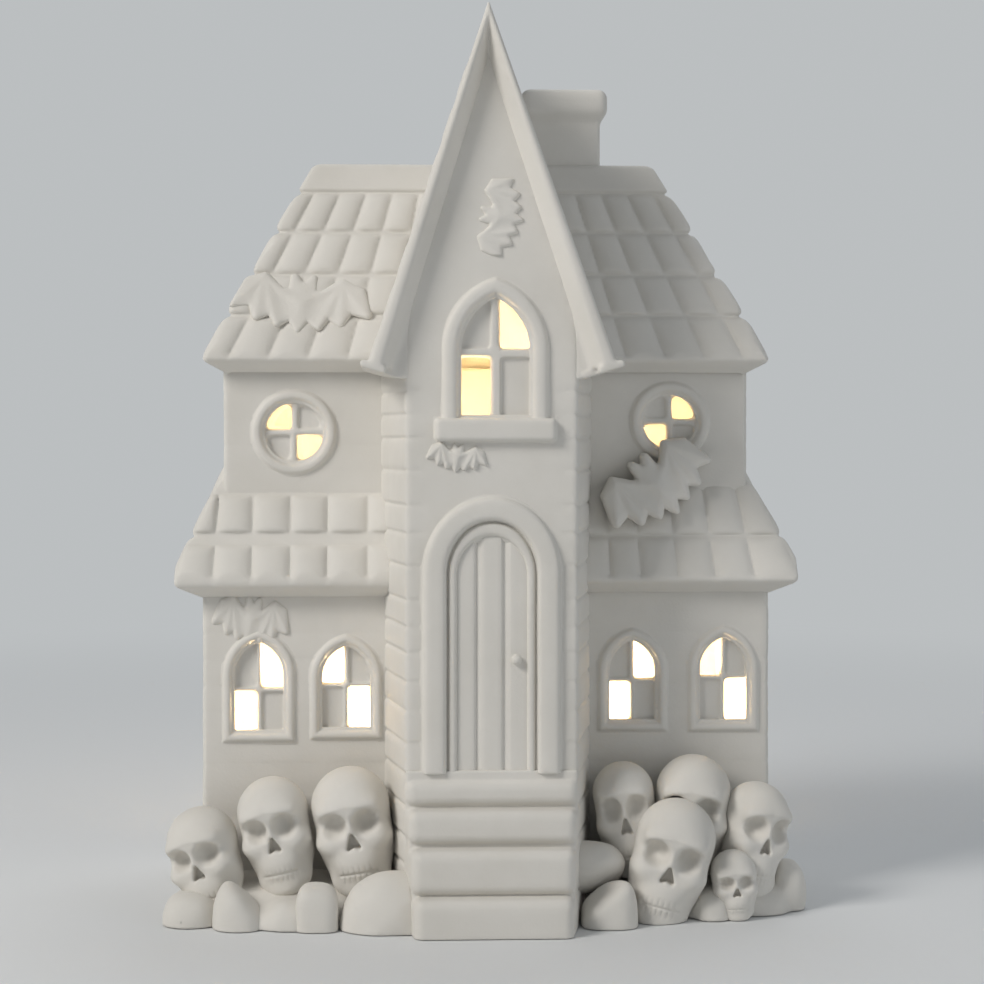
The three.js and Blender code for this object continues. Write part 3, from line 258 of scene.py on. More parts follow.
PLAIN = {
    "light_bottom_plate": white_plastic,
    "battery_door": white_plastic,
    "switch_body": black_plastic,
    "switch_knob": black_plastic,
    "circuit_board": board_green,
    "front_contact": nickel,
    "rear_contact": nickel,
}
for i in (1, 2, 3):
    PLAIN[f"battery_{i}"] = cell_wrap
    PLAIN[f"led_{i}"] = led_resin
for name, finish in PLAIN.items():
    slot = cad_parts[name].material_slots[0]
    slot.link = "OBJECT"
    slot.material = finish


# Sizes taken from the solids
def box(name):
    """The low and the high corner of a solid, in millimetres."""
    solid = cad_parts[name]
    corners = [solid.matrix_world @ Vector(corner) for corner in solid.bound_box]
    return [[round(pick(c[axis] for c in corners) / MM, 2) for axis in range(3)] for pick in (min, max)]


def ring(side, rear):
    """Half width, front and back of what a side piece and a rear piece go round."""
    high = box(rear)[1]
    return high[0], box(side)[0][1], high[1]


LOWER = ring("right_lower_wall", "rear_lower_wall")
UPPER = ring("right_upper_wall", "rear_upper_wall")
SKIRT = ring("right_skirt_roof", "rear_skirt_roof")
ROOF = ring("main_roof", "main_roof")
WALL = LOWER[2] - box("rear_lower_wall")[0][1]
LOWER_TOP = box("rear_lower_wall")[1][2]
UPPER_TOP = box("rear_upper_wall")[1][2]
LOWER_END = LOWER_TOP + 1.5      # the walls run on into the roof over them
UPPER_END = UPPER_TOP + 3
UPPER_FOOT = 110.0
LOWER_SEAM = 61.6                # where the rear pieces start
UPPER_SEAM = 55.1
SKIRT_SEAM = 55.2
LAP = 1.4                        # how far a side wall runs on into the rear one

TOWER_FRONT = box("tower_casting")[0][1]
TOWER_BACK = box("tower_casting")[1][1]
TOWER_HALF = 28.2
TOWER_FRONT_WALL = 6.0
SPLAY = 0.186                    # how much the tower widens on each side for each step back

BOARD = 8.9
LOWER_LINES = tuple(101 - BOARD * i for i in range(12))
UPPER_LINES = tuple(174 - BOARD * i for i in range(7))
BOARD_GROOVE = 0.15
TOWER_LINES = (
    11, 20, 29, 39, 49.5, 59.4, 70.2, 79.4, 88.8, 97.3, 106, 117, 127.6, 136.7, 148.1, 158.6, 166.3, 174,
)
TOWER_GROOVE = 0.75
GROOVE_WIDTH = 0.75
# a soft lip stands over each groove: how far up, how wide, and its share of the groove's depth
LIP_RISE = 2.2
LIP_WIDTH = 1.6
LIP_SHARE = 0.22


def siding(z, lines, deep):
    """Depth of the grooves between boards: each has a soft lip over it."""
    depth = np.float32(0)
    for line in lines:
        groove = (z - line) / GROOVE_WIDTH
        depth = np.maximum(depth, deep * np.exp(-groove * groove))
        lip = (z - line - LIP_RISE) / LIP_WIDTH
        depth = depth - LIP_SHARE * deep * np.exp(-lip * lip)
    return depth


# Windows
POINT = 3.4          # how far the centres of a wing window's arch stand apart from its middle
LIGHT_DEPTH = 0.9    # how far a light and a closed pane lie behind the wall's face
PANE_DEPTH = 2.3
SPREAD = 1.2         # how far a moulding's fillet spreads over the wall
ROOT = 1.6           # how far a moulding reaches into it

# middle, half width, foot, top, level of the bar, and which upper pane is open
LEFT_WINDOWS = ((-77.8, 9.4, 58.0, 90.4, 72.9, False), (-48.2, 9.4, 58.8, 89.0, 74.3, True))
RIGHT_WINDOWS = ((49.8, 9.0, 61.0, 90.6, 75.5, False), (81.2, 9.2, 60.8, 91.4, 76.4, True))
WING_BARS = (1.6, 1.4)
# middle, level, radius, and which upper pane is open
ROUND = ((-66.2, 160.7, 11.2, True), (63.5, 164.4, 10.4, False))
ROUND_BARS = (2.4, 2.4)
TALL_MIDDLE = 1.2
TALL = dict(half=12.3, foot=165.0, top=205.6, bar_z=186.4, bars=(3.2, 3.0), point=7.4)


def four_panes(light, x, z, bars, inset, corner, soft, open_left_top):
    """The panes that two bars leave of a light, and the two of them that are open."""
    panes = []
    opened = []
    for sx in (-1, 1):
        for sz in (-1, 1):
            edge = rounded(bars[0] / 2 - sx * x, bars[1] / 2 - sz * z, corner)
            panes.append(soft_max(light + inset, edge, soft))
            if (sx * sz < 0) == open_left_top:
                opened.append(panes[-1])
    return panes, opened


def arched_window(x, z, half, foot, top, bar_z, bars, open_left_top, point=POINT):
    """Distances in the wall's plane: the whole light, its panes, and the panes that are open."""
    light = arch(x, z, half, foot, top, point)
    return light, *four_panes(light, x, z - bar_z, bars, 0.8, 1.2, 1.6, open_left_top)


def round_window(x, z, cx, cz, radius, open_left_top):
    light = length(x - cx, z - cz) - radius
    return light, *four_panes(light, x - cx, z - cz, ROUND_BARS, 1.4, 1.0, 2.4, open_left_top)


def cut_window(wall, y, face, light, panes, opened):
    """A stepped opening: the light is set back, closed panes further, and open ones go through."""
    wall = soft_max(wall, -rounded(light, y - (face + LIGHT_DEPTH), 0.4), 0.8)
    for pane in panes:
        wall = soft_max(wall, -rounded(pane, y - (face + PANE_DEPTH), 0.5), 0.6)
    for pane in opened:
        wall = soft_max(wall, -pane, 1.6)
    return wall


def frame_band(light, y, face, host, width, proud):
    """A rounded moulding round a light, run into the wall by a fillet."""
    band = rounded(np.abs(light - width / 2) - width / 2, (face - proud) - y, min(width, proud * 2) * 0.45)
    skin = soft_min(band, host + JOIN, 1.0)
    keep = np.maximum(np.abs(light - width / 2) - width / 2 - SPREAD, y - (face + ROOT))
    return np.maximum(skin, keep)


# Outlines of the tower
def tower_side(x, y):
    return (np.abs(x) - TOWER_HALF - SPLAY * (y - TOWER_FRONT)) / math.hypot(1, SPLAY)


def tower_outer(x, y):
    return rounded(TOWER_FRONT - y, tower_side(x, y), 1.6)


def tower_inner(x, y):
    return rounded(TOWER_FRONT + TOWER_FRONT_WALL - y, tower_side(x, y) + WALL, 1.5)


def tower_grooves(x, y, z):
    """The boards of the tower's sides, which run a little way onto its front."""
    line = siding(z, TOWER_LINES, TOWER_GROOVE)
    plain_front = np.clip((np.abs(x) - 21) / 3, 0, 1)
    on_side = np.clip((y - TOWER_FRONT) / 1.5, 0, 1)
    return line * np.maximum(on_side, 0.45 * plain_front)


# Walls
REAR_OPENING = dict(half=39, foot=5, top=56)      # the light unit goes in through it


def storey(x, y, z, size, lines):
    outer = plan(x, y, size, 0, 1.8) + siding(z, lines, BOARD_GROOVE)
    inner = plan(x, y, size, WALL, 2.5)
    return np.maximum(outer + wobble(x, y, z, 0.07), -inner)


def side_wall(tag, size, lines, foot, top, windows, seam):
    """Left or right wall of a storey, with its windows, from the tower to the rear wall."""
    half, face, _ = size

    def field(x, y, z):
        wall = storey(x, y, z, size, lines)
        wall = np.maximum(wall, -tower_outer(x, y) - 1.5)
        for light, panes, opened in windows(x, z):
            wall = cut_window(wall, y, face, light, panes, opened)
        return np.maximum(np.maximum(wall, y - seam), np.maximum(foot - z, z - top))

    x0, x1 = (-half - 1, -28) if tag.startswith("left") else (28, half + 1)
    cast(tag, (x0, face - 1, foot - 1), (x1, seam + 1, top + 1), field, 0.6)


def lower_windows(specs):
    def windows(x, z):
        return [arched_window(x - cx, z, half, foot, top, bar_z, WING_BARS, left_top)
                for cx, half, foot, top, bar_z, left_top in specs]
    return windows


def upper_windows(spec):
    def windows(x, z):
        return [round_window(x, z, *spec)]
    return windows


for tag, specs in (("left", LEFT_WINDOWS), ("right", RIGHT_WINDOWS)):
    windows = lower_windows(specs)
    side_wall(f"{tag}_lower_wall", LOWER, LOWER_LINES, GROUND, LOWER_END, windows, LOWER_SEAM + LAP)

for tag, spec in zip(("left", "right"), ROUND):
    windows = upper_windows(spec)
    side_wall(f"{tag}_upper_wall", UPPER, UPPER_LINES, UPPER_FOOT, UPPER_END, windows, UPPER_SEAM + LAP)


def rear_lower(x, y, z):
    wall = storey(x, y, z, LOWER, LOWER_LINES) - APART
    wall = soft_max(wall, -arch(x, z, **REAR_OPENING), 1.0)
    return np.maximum(np.maximum(wall, LOWER_SEAM - y), np.maximum(GROUND - z, z - LOWER_END))


def rear_upper(x, y, z):
    wall = storey(x, y, z, UPPER, UPPER_LINES) - APART
    return np.maximum(np.maximum(wall, UPPER_SEAM - y), np.maximum(UPPER_FOOT - z, z - UPPER_END))


cast("rear_lower_wall", (-98, 61, -0.5), (98, 67, 111), rear_lower, 0.6)
cast("rear_upper_wall", (-92, 54, 109), (92, 61, 187), rear_upper, 0.6)


# Window frames of the wings
for tag, specs in (("left", LEFT_WINDOWS), ("right", RIGHT_WINDOWS)):
    for i, (cx, half, foot, top, *_) in enumerate(specs):
        def field(x, y, z, cx=cx, half=half, foot=foot, top=top):
            light = arch(x - cx, z, half, foot, top, POINT)
            host = LOWER[1] - y + siding(z, LOWER_LINES, BOARD_GROOVE)
            return frame_band(light, y, LOWER[1], host, 2.6, 1.5)
        cast(f"{tag}_window_frame_{i + 1}", (cx - 16, -21.5, 53), (cx + 16, -15.5, 97), field, 0.4)

for tag, (cx, cz, radius, _) in zip(("left", "right"), ROUND):
    def field(x, y, z, cx=cx, cz=cz, radius=radius):
        light = length(x - cx, z - cz) - radius
        host = UPPER[1] - y + siding(z, UPPER_LINES, BOARD_GROOVE)
        return frame_band(light, y, UPPER[1], host, 3.2, 1.6)
    cast(f"{tag}_round_window_frame", (cx - 17, -15, cz - 17), (cx + 17, -9, cz + 17), field, 0.4)


# Base floor
def base_floor(x, y, z):
    room = plan(x, y, LOWER, WALL - 0.8, 2)
    tongue = np.maximum(tower_inner(x, y) - 0.8, y)
    return np.maximum(np.minimum(room, tongue), np.abs(z - 2.6) - 2.4)


cast("base_floor", (-95, -51, -0.5), (95, 64, 6), base_floor, 0.8)


# Tiles
def puff(t, power, fall):
    return np.maximum(1 - np.abs(t) ** power, 0) ** fall


def tiles(a, z, columns, rows, high, along=5.0):
    """Height of rows of puffed tiles. columns are their edges at the foot and at the head."""
    foot, head = rows[0][0], rows[-1][1]
    t = (z - foot) / (head - foot)
    wide = np.float32(0)
    for (b0, b1), (c0, c1) in zip(columns[:-1], columns[1:]):
        left, right = b0 + (b1 - b0) * t, c0 + (c1 - c0) * t
        wide = np.maximum(wide, puff((2 * a - left - right) / (right - left), 2.4, 0.75))
    tall = np.float32(0)
    for low, top in rows:
        tall = np.maximum(tall, puff((2 * z - low - top) / (top - low), along, 0.6))
    return high * wide * tall


def slope(out, z, foot, foot_z, head, head_z):
    """Distance to a roof slope. out grows outwards from the house."""
    run, rise = foot - head, head_z - foot_z
    return ((out - foot) * rise + (z - foot_z) * run) / math.hypot(run, rise)


# Skirt roofs
SKIRT_FOOT = box("rear_skirt_roof")[0][2]
SKIRT_HEAD = box("rear_skirt_roof")[1][2]
SKIRT_NOSE = SKIRT_FOOT + 3      # the slopes start here, over the eave
HEAD_GAP = 1.0                   # how far their heads stand out of the upper walls
EAVE_HALF = 1.8                  # half the height of the eave's upright edge
UNDERSIDE_RUN = 9                # how far in the underside of an eave slopes down to the wall
SKIRT_CUT = 150.0                # no part of the skirt roofs is higher
# edges of the columns of tiles, each at its foot and at its head
LEFT_COLUMNS = (
    (-109, -95), (-92.9, -92), (-79.8, -80.2), (-66.9, -67.3), (-54.4, -54.6), (-40.7, -40.8), (-28, -28),
)
RIGHT_COLUMNS = (
    (28, 28), (41.6, 41.3), (52, 50.7), (64.7, 62.8), (77.7, 74.6), (91.4, 86.1), (107.5, 93.5),
)
# foot and head of each row of tiles
LEFT_ROWS = ((109.4, 122.4), (126.4, 139.2))
RIGHT_ROWS = ((109.6, 124.6), (125.6, 142.5))
SKIRT_SIDE_COLUMNS = tuple((24 + 12.6 * k, 24 + 10.6 * k) for k in range(-4, 5))
SKIRT_SIDE_ROWS = ((109.0, 124.8), (125.4, 150.5))
SKIRT_BACK_COLUMNS = tuple((13 * k, 12 * k) for k in range(-8, 9))


def skirt(x, y, z, side):
    """The whole skirt roof as it looks from one side: the two wings differ a little."""
    half, front_y, back_y = SKIRT
    rows, columns, high = (LEFT_ROWS, LEFT_COLUMNS, 2.3) if side < 0 else (RIGHT_ROWS, RIGHT_COLUMNS, 1.9)
    bed = 1.6      # how deep the tiles are bedded in the slopes
    front = slope(-y, z, -front_y, SKIRT_NOSE, HEAD_GAP - UPPER[1], SKIRT_HEAD) + bed
    front = front - tiles(x, z, columns, rows, high)
    side_foot, side_run = (114.0, 15.3) if side < 0 else (116.6, 16.2)
    flank = slope(np.abs(x), z, half, side_foot, half - side_run, 149) + 1.2
    flank = flank - tiles(y, z, SKIRT_SIDE_COLUMNS, SKIRT_SIDE_ROWS, 1.6, along=8)
    back = slope(y, z, back_y, SKIRT_NOSE, UPPER[2] + HEAD_GAP, SKIRT_HEAD) + bed
    back = back - tiles(x, z, SKIRT_BACK_COLUMNS, LEFT_ROWS, 2.0)
    roof = soft_max(soft_max(front, flank, 1.5), back, 1.5)
    roof = np.maximum(roof, plan(x, y, SKIRT, 0.2, 2.0))
    edge = plan(x, y, SKIRT, 0.4, 2.0)
    drop = np.where(x < 0, 1.4, 0.2)      # how far the eave hangs below its solid
    lip = rounded(edge, np.abs(z - (SKIRT_FOOT + EAVE_HALF) + drop / 2) - EAVE_HALF - drop / 2, 1.3)
    roof = soft_min(roof, lip, 0.8)
    underside = 110.0 - drop + 0.5 * np.maximum(edge, -UNDERSIDE_RUN)
    roof = soft_max(roof, (underside - z) * 0.9, 1.2)
    walls = plan(x, y, LOWER, 0, 1.8) - APART
    roof = np.maximum(roof, -np.maximum(walls, z - SKIRT_FOOT))
    hollow = plan(x, y, UPPER, WALL, 2.5)
    return np.maximum(np.maximum(roof, -hollow), z - SKIRT_CUT)


for tag, side, x0, x1 in (("left", -1, -107, -28), ("right", 1, 28, 107)):
    def field(x, y, z, side=side):
        roof = np.maximum(skirt(x, y, z, side), -tower_outer(x, y) - 1.5)
        return np.maximum(roof, y - (SKIRT_SEAM + 0.8))
    cast(f"{tag}_skirt_roof", (x0, -28, 103), (x1, 57, 151), field)


def rear_skirt(x, y, z):
    roof = np.where(x < 0, skirt(x, y, z, -1), skirt(x, y, z, 1)) - APART
    return np.maximum(roof, SKIRT_SEAM - y)


cast("rear_skirt_roof", (-107, 54.5, 103), (107, 76, 151), rear_skirt)

# Main roof
ROOF_FOOT = box("main_roof")[0][2]
ROOF_NOSE = ROOF_FOOT + 4
ROOF_TOP = box("main_roof")[1][2]
CAP_FOOT = 246.2
HOLLOW_TOP = 246.0
# how far out the front, side and back faces start and end, outside and inside
ROOF_REACH = ((-ROOF[1], -14), (ROOF[0], 61), (ROOF[2], 34))
HOLLOW_REACH = ((12, -18), (88, 57), (60, 30))
ROOF_ROWS = ((185.0, 200.4), (201.4, 215.0), (216.0, 230.5), (231.4, 245.4))
FAN = (-1.03, *(0.14 * (k - 6.5) for k in range(14)), 1.03)
ROOF_COLUMNS = tuple((97.5 * f, 66 * f) for f in FAN)
ROOF_SIDE_COLUMNS = tuple((24 + 12.4 * (k + 0.5), 24 + 8.6 * (k + 0.5)) for k in range(-5, 5))


def hip_faces(x, y, z, reaches, foot, top):
    """Distances to the front, side and back faces of a hipped roof."""
    outwards = (-y, np.abs(x), y)
    return [slope(out, z, start, foot, end, top) for out, (start, end) in zip(outwards, reaches)]


def hipped(x, y, z, reaches, foot, top):
    front, flank, back = hip_faces(x, y, z, reaches, foot, top)
    return soft_max(soft_max(front, flank, 2.0), back, 2.0)


def main_roof(x, y, z):
    high, bed = 1.9, 1.2
    front, flank, back = hip_faces(x, y, z, ROOF_REACH, ROOF_NOSE, ROOF_TOP)
    front = front + bed - tiles(x, z, ROOF_COLUMNS, ROOF_ROWS, high)
    flank = flank + bed - tiles(y, z, ROOF_SIDE_COLUMNS, ROOF_ROWS, high)
    back = back + bed - tiles(x, z, ROOF_COLUMNS, ROOF_ROWS, high)
    roof = soft_max(soft_max(front, flank, 1.6), back, 1.6)
    cap = rounded(hipped(x, y, z, ROOF_REACH, ROOF_NOSE, ROOF_TOP) - 0.3, CAP_FOOT - z, 0.9)
    roof = soft_min(roof, cap, 0.8)
    roof = rounded(roof, z - ROOF_TOP - 1.6, 2.2)
    edge = plan(x, y, ROOF, 0.1, 2.0)
    lip = rounded(edge, np.abs(z - 184.4) - 2.4, 1.5)
    roof = soft_min(np.maximum(roof, edge), lip, 1.0)
    underside = 185.0 + 0.55 * np.maximum(edge, -UNDERSIDE_RUN)
    roof = soft_max(roof, (underside - z) * 0.88, 1.2)
    hollow = rounded(hipped(x, y, z, HOLLOW_REACH, ROOF_FOOT, HOLLOW_TOP), z - HOLLOW_TOP, 2.0)
    roof = np.maximum(roof, -hollow)
    return np.maximum(roof, np.minimum(-tower_roof_outer(x, z) - 2.0, 9.0 - y))


# Tower roof
TOWER_EAVE = box("tower_roof")[0][2]
PEAK = box("tower_roof")[1][2]
TOWER_ROOF_HALF = box("tower_roof")[1][0]
TOWER_ROOF_FRONT = box("tower_roof")[0][1]
TOWER_ROOF_BACK = box("tower_roof")[1][1]
RIDGE_LEAN = 1.3      # the ridge stands this far left of the middle
BEVEL = 7.0           # depth of the bevel round the front of the gable
SOFFIT_HALF = 31.7    # the inner faces of the slopes, at their foot
SOFFIT_FOOT = 182.0
SOFFIT_PEAK = 282.0
RETURN_IN = (30.6, 179.4)      # the return under an eave, from the tower's corner outwards
RETURN_OUT = (41.6, 182.6)
RETURN_HALF = 1.2
RETURN_FRONT = -61.7
RETURN_BACK = -17.3
SHOULDER_IN = 27.0             # the shoulder leaves the window in the gable free
TOWER_ROOF_ROWS = tuple((181.0 + 14.6 * k, 194.9 + 14.6 * k) for k in range(8))
TOWER_ROOF_COLUMNS = tuple((-56.5 + 11.0 * k, -56.5 + 11.0 * k) for k in range(7))


def lean(x, z):
    return x + RIDGE_LEAN * np.clip((z - TOWER_EAVE) / (PEAK - TOWER_EAVE), 0, 1)


def tower_roof_outer(x, z):
    return slope(np.abs(lean(x, z)), z, TOWER_ROOF_HALF, TOWER_EAVE, 0, PEAK)


def tower_soffit(x, z):
    return slope(np.abs(lean(x, z)), z, SOFFIT_HALF, SOFFIT_FOOT, 0, SOFFIT_PEAK)


def tower_roof_shell(x, y, z):
    """The two steep slopes, their bevelled front and the rear gable."""
    middle, deep = (TOWER_ROOF_FRONT + TOWER_ROOF_BACK) / 2, TOWER_ROOF_BACK - TOWER_ROOF_FRONT
    rim = np.clip((y - TOWER_ROOF_FRONT - 4.5) / 1.2, 0, 1)
    rim = rim * np.clip((TOWER_ROOF_BACK - 1.5 - y) / 1.2, 0, 1) * np.clip((PEAK - 14 - z) / 4, 0, 1)
    outer = tower_roof_outer(x, z)
    outer = outer + rim * (1.0 - tiles(y, z, TOWER_ROOF_COLUMNS, TOWER_ROOF_ROWS, 1.5))
    shell = soft_max(outer, np.abs(x) - (TOWER_ROOF_HALF - 0.4), 1.0)
    shell = rounded(shell, np.abs(y - middle) - deep / 2, 1.8)
    hollow = tower_soffit(x, z)
    opening = hollow - 4.0 * np.clip((TOWER_FRONT + 0.3 - y) / BEVEL, 0, 1)
    shell = soft_max(shell, -opening, 1.2)
    gable = np.maximum(np.maximum(hollow - 1, np.abs(y - 7.8) - 2.2), 240 - z)
    shell = np.minimum(shell, gable)
    rise = 0.3 * np.clip(np.abs(x) - 31, 0, 10) * np.clip((-13 - y) / 5, 0, 1)
    return soft_max(shell, (TOWER_EAVE + rise - z) * 0.95, 1.2)


def tower_roof(x, y, z):
    """The shell with a thin return under each eave and a shoulder that closes it to the tower."""
    middle, half = (RETURN_FRONT + RETURN_BACK) / 2, (RETURN_BACK - RETURN_FRONT) / 2
    eave = segment(np.abs(x), z, RETURN_IN, RETURN_OUT) - RETURN_HALF
    eave = rounded(eave, np.abs(y - middle) - half, 0.8)
    eave = soft_max(eave, np.minimum(34.4 - np.abs(x), TOWER_FRONT - 0.2 - y), 0.8)
    shoulder = np.maximum(tower_soffit(x, z) - 1, -0.6 - tower_outer(x, y))
    shoulder = np.maximum(shoulder, SHOULDER_IN - np.abs(x))
    shoulder = np.maximum(shoulder, np.maximum(TOWER_FRONT + 0.2 - y, y + 16))
    underside = RETURN_IN[1] - 1.1 + 0.29 * (np.abs(x) - RETURN_IN[0])
    shoulder = soft_max(shoulder, underside - z, 0.8)
    return soft_min(tower_roof_shell(x, y, z), soft_min(eave, shoulder, 0.6), 1.4)


cast("main_roof", (-98, -21, 179), (98, 69, 258), main_roof, 0.6)
cast("tower_roof", (-44, -63, 177), (44, 11, 301), tower_roof)

# Chimney
CHIMNEY_TOP = 283.6


def chimney(x, y, z):
    (x0, y0, _), (x1, y1, _) = box("chimney")
    shaft = block(x, y, z, (x0 + 2.5, y0 + 2.5, 250), (x1 - 2.5, y1 - 2.5, CHIMNEY_TOP - 1.6), 1.5)
    cap = block(x, y, z, (x0, y0, CHIMNEY_TOP - 9.8), (x1, y1, CHIMNEY_TOP), 3.2)
    flue = block(x, y, z, (x0 + 7, y0 + 7, 268.2), (x1 - 7, y1 - 7, 290), 1.5)
    return soft_max(soft_min(shaft, cap, 3.6), -flue, 1.2)


cast("chimney", (13, 13, 250), (45, 35, 285), chimney, 0.4)

# Tower casting, with its window frame and door
DOOR_FOOT = box("door")[0][2]
DOOR_HALF = box("door")[1][0]
DOOR_SPRING = 114.3
SILL_HALF = 19.6
SILL_FOOT = 157.6
SILL_PROUD = 3.4
PLANK_EDGES = (-5.0, 3.9)
NICHE_MARGIN = 3.5
NICHE_DEPTH = 3.2
DOOR_ROOT = 3.4      # how far the door and its surround reach into the wall
DOOR_BELOW = 0.8     # how far they run down behind the steps
# the mouldings round the door: middle and half width of the band, how proud it stands, its corner
OUTER_BAND = (7.7, 3.7, 2.6, 1.9)
JAMB_BAND = (1.9, 1.3, 0.9, 1.2)
BACK_BAND = (5.5, 5.6, -0.9, 0.4)
KNOB_X, KNOB_Z = 8.0, 86.6


def door_line(x, z):
    """Distance from the edge of the door, in the plane of the wall. The arches grow taller outwards."""
    rise = np.maximum(z - DOOR_SPRING, 0)
    radius = length(x, rise)
    line = radius - DOOR_HALF
    steep = (rise / np.maximum(radius, 0.1)) ** 2
    return line - steep * (0.6 + 2.1 * np.clip((line - 0.6) / 4.5, 0, 1))


def tower_casting(x, y, z):
    outer = tower_outer(x, y) + tower_grooves(x, y, z) + wobble(x, y, z, 0.06)
    wall = soft_max(outer, -tower_inner(x, y), 0.4)
    niche = np.maximum(door_line(x, z) - NICHE_MARGIN, DOOR_FOOT - z)
    wall = soft_max(wall, -rounded(niche, y - (TOWER_FRONT + NICHE_DEPTH), 0.5), 0.6)
    light, panes, opened = arched_window(x - TALL_MIDDLE, z, open_left_top=False, **TALL)
    wall = cut_window(wall, y, TOWER_FRONT, light, panes, opened)
    under = np.maximum(tower_soffit(x, z) - 1.2, z - 290)
    under = np.where(z < SOFFIT_FOOT + 0.5, z * 0 - 1, under)
    return np.maximum(np.maximum(wall, under), np.maximum(y - TOWER_BACK, GROUND - z))


def tall_frame(x, y, z):
    foot = TALL["foot"]
    light = arch(x - TALL_MIDDLE, z, TALL["half"], foot - 3, TALL["top"], TALL["point"])
    host = TOWER_FRONT - y
    band = frame_band(light, y, TOWER_FRONT, host, 4.8, 2.0)
    band = np.maximum(band, foot - 0.5 - z)
    low = (TALL_MIDDLE - SILL_HALF, TOWER_FRONT - SILL_PROUD, SILL_FOOT)
    high = (TALL_MIDDLE + SILL_HALF, TOWER_FRONT + 2, foot)
    sill = soft_min(block(x, y, z, low, high, 1.6), host + JOIN, 1.0)
    middle, half = (foot + SILL_FOOT) / 2, (foot - SILL_FOOT) / 2
    keep = rect(x - TALL_MIDDLE, z - middle, SILL_HALF + SPREAD, half + SPREAD, 1)
    keep = np.maximum(keep, y - (TOWER_FRONT + ROOT))
    return np.minimum(band, np.maximum(sill, keep))


def door_band(line, y, middle, half, proud, r):
    return rounded(np.abs(line - middle) - half, TOWER_FRONT - proud - y, r)


def door_surround(x, y, z):
    line = np.maximum(door_line(x, z), DOOR_FOOT - 2 - z)
    proud = np.minimum(door_band(line, y, *OUTER_BAND), door_band(line, y, *JAMB_BAND))
    moulding = soft_min(proud, door_band(line, y, *BACK_BAND), 0.7)
    skin = soft_min(moulding, np.maximum(TOWER_FRONT - y + JOIN, 8 - line), 1.1)
    keep = np.maximum(np.abs(line - 6.2) - 6.4, y - (TOWER_FRONT + DOOR_ROOT))
    return np.maximum(np.maximum(skin, keep), DOOR_FOOT - DOOR_BELOW - z)


def door(x, y, z):
    """Three planks with grooves between them, and the knob."""
    leaf = np.maximum(door_line(x, z) - 1.2, DOOR_FOOT - 2 - z)
    planks = np.float32(0)
    for edge in PLANK_EDGES:
        t = x - edge
        planks = np.maximum(planks, np.where(t < 0, 1 + t / 0.7, 1 - t / 2.3))
    surface_y = TOWER_FRONT + 0.5 + 1.1 * np.clip(planks, 0, 1)
    face = soft_max(leaf, (surface_y - y) * 0.8, 0.6)
    knob = ellipsoid(x, y, z, (KNOB_X, TOWER_FRONT - 0.6, KNOB_Z), (1.6, 1.5, 1.7))
    stem = ellipsoid(x, y, z, (KNOB_X, TOWER_FRONT + 0.8, KNOB_Z), (1.1, 1.6, 1.1))
    leaf = soft_min(face, soft_min(knob, stem, 0.5), 0.4)
    return np.maximum(np.maximum(leaf, y - (TOWER_FRONT + DOOR_ROOT)), DOOR_FOOT - DOOR_BELOW - z)


cast("tower_casting", (-39, -56.5, -0.5), (39, -6, 288), tower_casting)
cast("tower_window_frame", (-21, -59, 155.5), (23.5, -52.5, 212.5), tall_frame, 0.4)
cast("door_surround", (-25, -58.5, 49), (25, -51, 144), door_surround, 0.4)
cast("door", (-13, -58, 49), (13, -51, 131), door, 0.35)

# Steps
STEPS_FRONT = -75.0
TREADS_BACK = -50.0
# front, underside and top of each tread, and the radius of its nose
TREADS = (
    (STEPS_FRONT, -3.0, 12.2, 3.2),
    (-69.6, 12.8, 26.8, 3.2),
    (-64.0, 28.2, 38.6, 3.0),
    (-58.4, 39.6, 47.6, 3.0),
)


def step_side(y):
    """Half the width of the steps, which widen towards the tower."""
    return 25.0 + 0.17 * np.clip(y - STEPS_FRONT, 0, 20)


def front_steps(x, y, z):
    behind = y - TREADS_BACK
    steps, core = FAR, np.maximum(np.maximum(-55.9 - y, z - DOOR_FOOT), behind)
    for front, low, top, nose in TREADS:
        middle, half = (front + TREADS_BACK) / 2, (TREADS_BACK - front) / 2
        steps = np.minimum(steps, rect(y - middle, z - (low + top) / 2, half, (top - low) / 2, nose))
        core = np.minimum(core, np.maximum(np.maximum(front + 2.8 - y, z - low - 1), behind))
    side = (np.abs(x) - step_side(y)) * 0.99
    body = soft_min(rounded(steps, side, 2.8), rounded(core, side + 0.4, 0.6), 0.8)
    return np.maximum(np.maximum(body, GROUND - z), y + 52.5)


cast("front_steps", (-31, -76, -0.5), (31, -52, 52), front_steps, 0.4)


# Ground
def boulder(x, y, z, centre, radii, power=2.5, facets=()):
    """A stone with soft shoulders. Each facet is a direction and how far along it the stone is cut."""
    p = [np.abs(v - c) / r for v, c, r in zip((x, y, z), centre, radii)]
    stone = ((p[0] ** power + p[1] ** power + p[2] ** power) ** (1 / power) - 1) * min(radii)
    for (nx, ny, nz), at in facets:
        size = math.hypot(nx, ny, nz)
        cut = ((x - centre[0]) * nx + (y - centre[1]) * ny + (z - centre[2]) * nz) / size - at
        stone = soft_max(stone, cut, 3.5)
    return stone + 0.25 * np.sin(x * 0.45 + centre[0]) * np.sin(z * 0.4 + centre[2]) * np.sin(y * 0.35)


def on_ground(shape, y, z):
    """What is left of a shape over the ground and in front of the lower walls."""
    return np.maximum(np.maximum(shape, GROUND - z), y - (LOWER[1] + 1.2))


def rubble(x, y, z, bed, lumps):
    """A low bed against the wall, with lumps that run into it."""
    cx, half, front, height = bed
    ground = boulder(x, y, z, (cx, LOWER[1], 0), (half, LOWER[1] - front, height), 2.6)
    for centre, radii in lumps:
        ground = soft_min(ground, boulder(x, y, z, centre, radii), 3.0)
    return on_ground(ground, y, z)


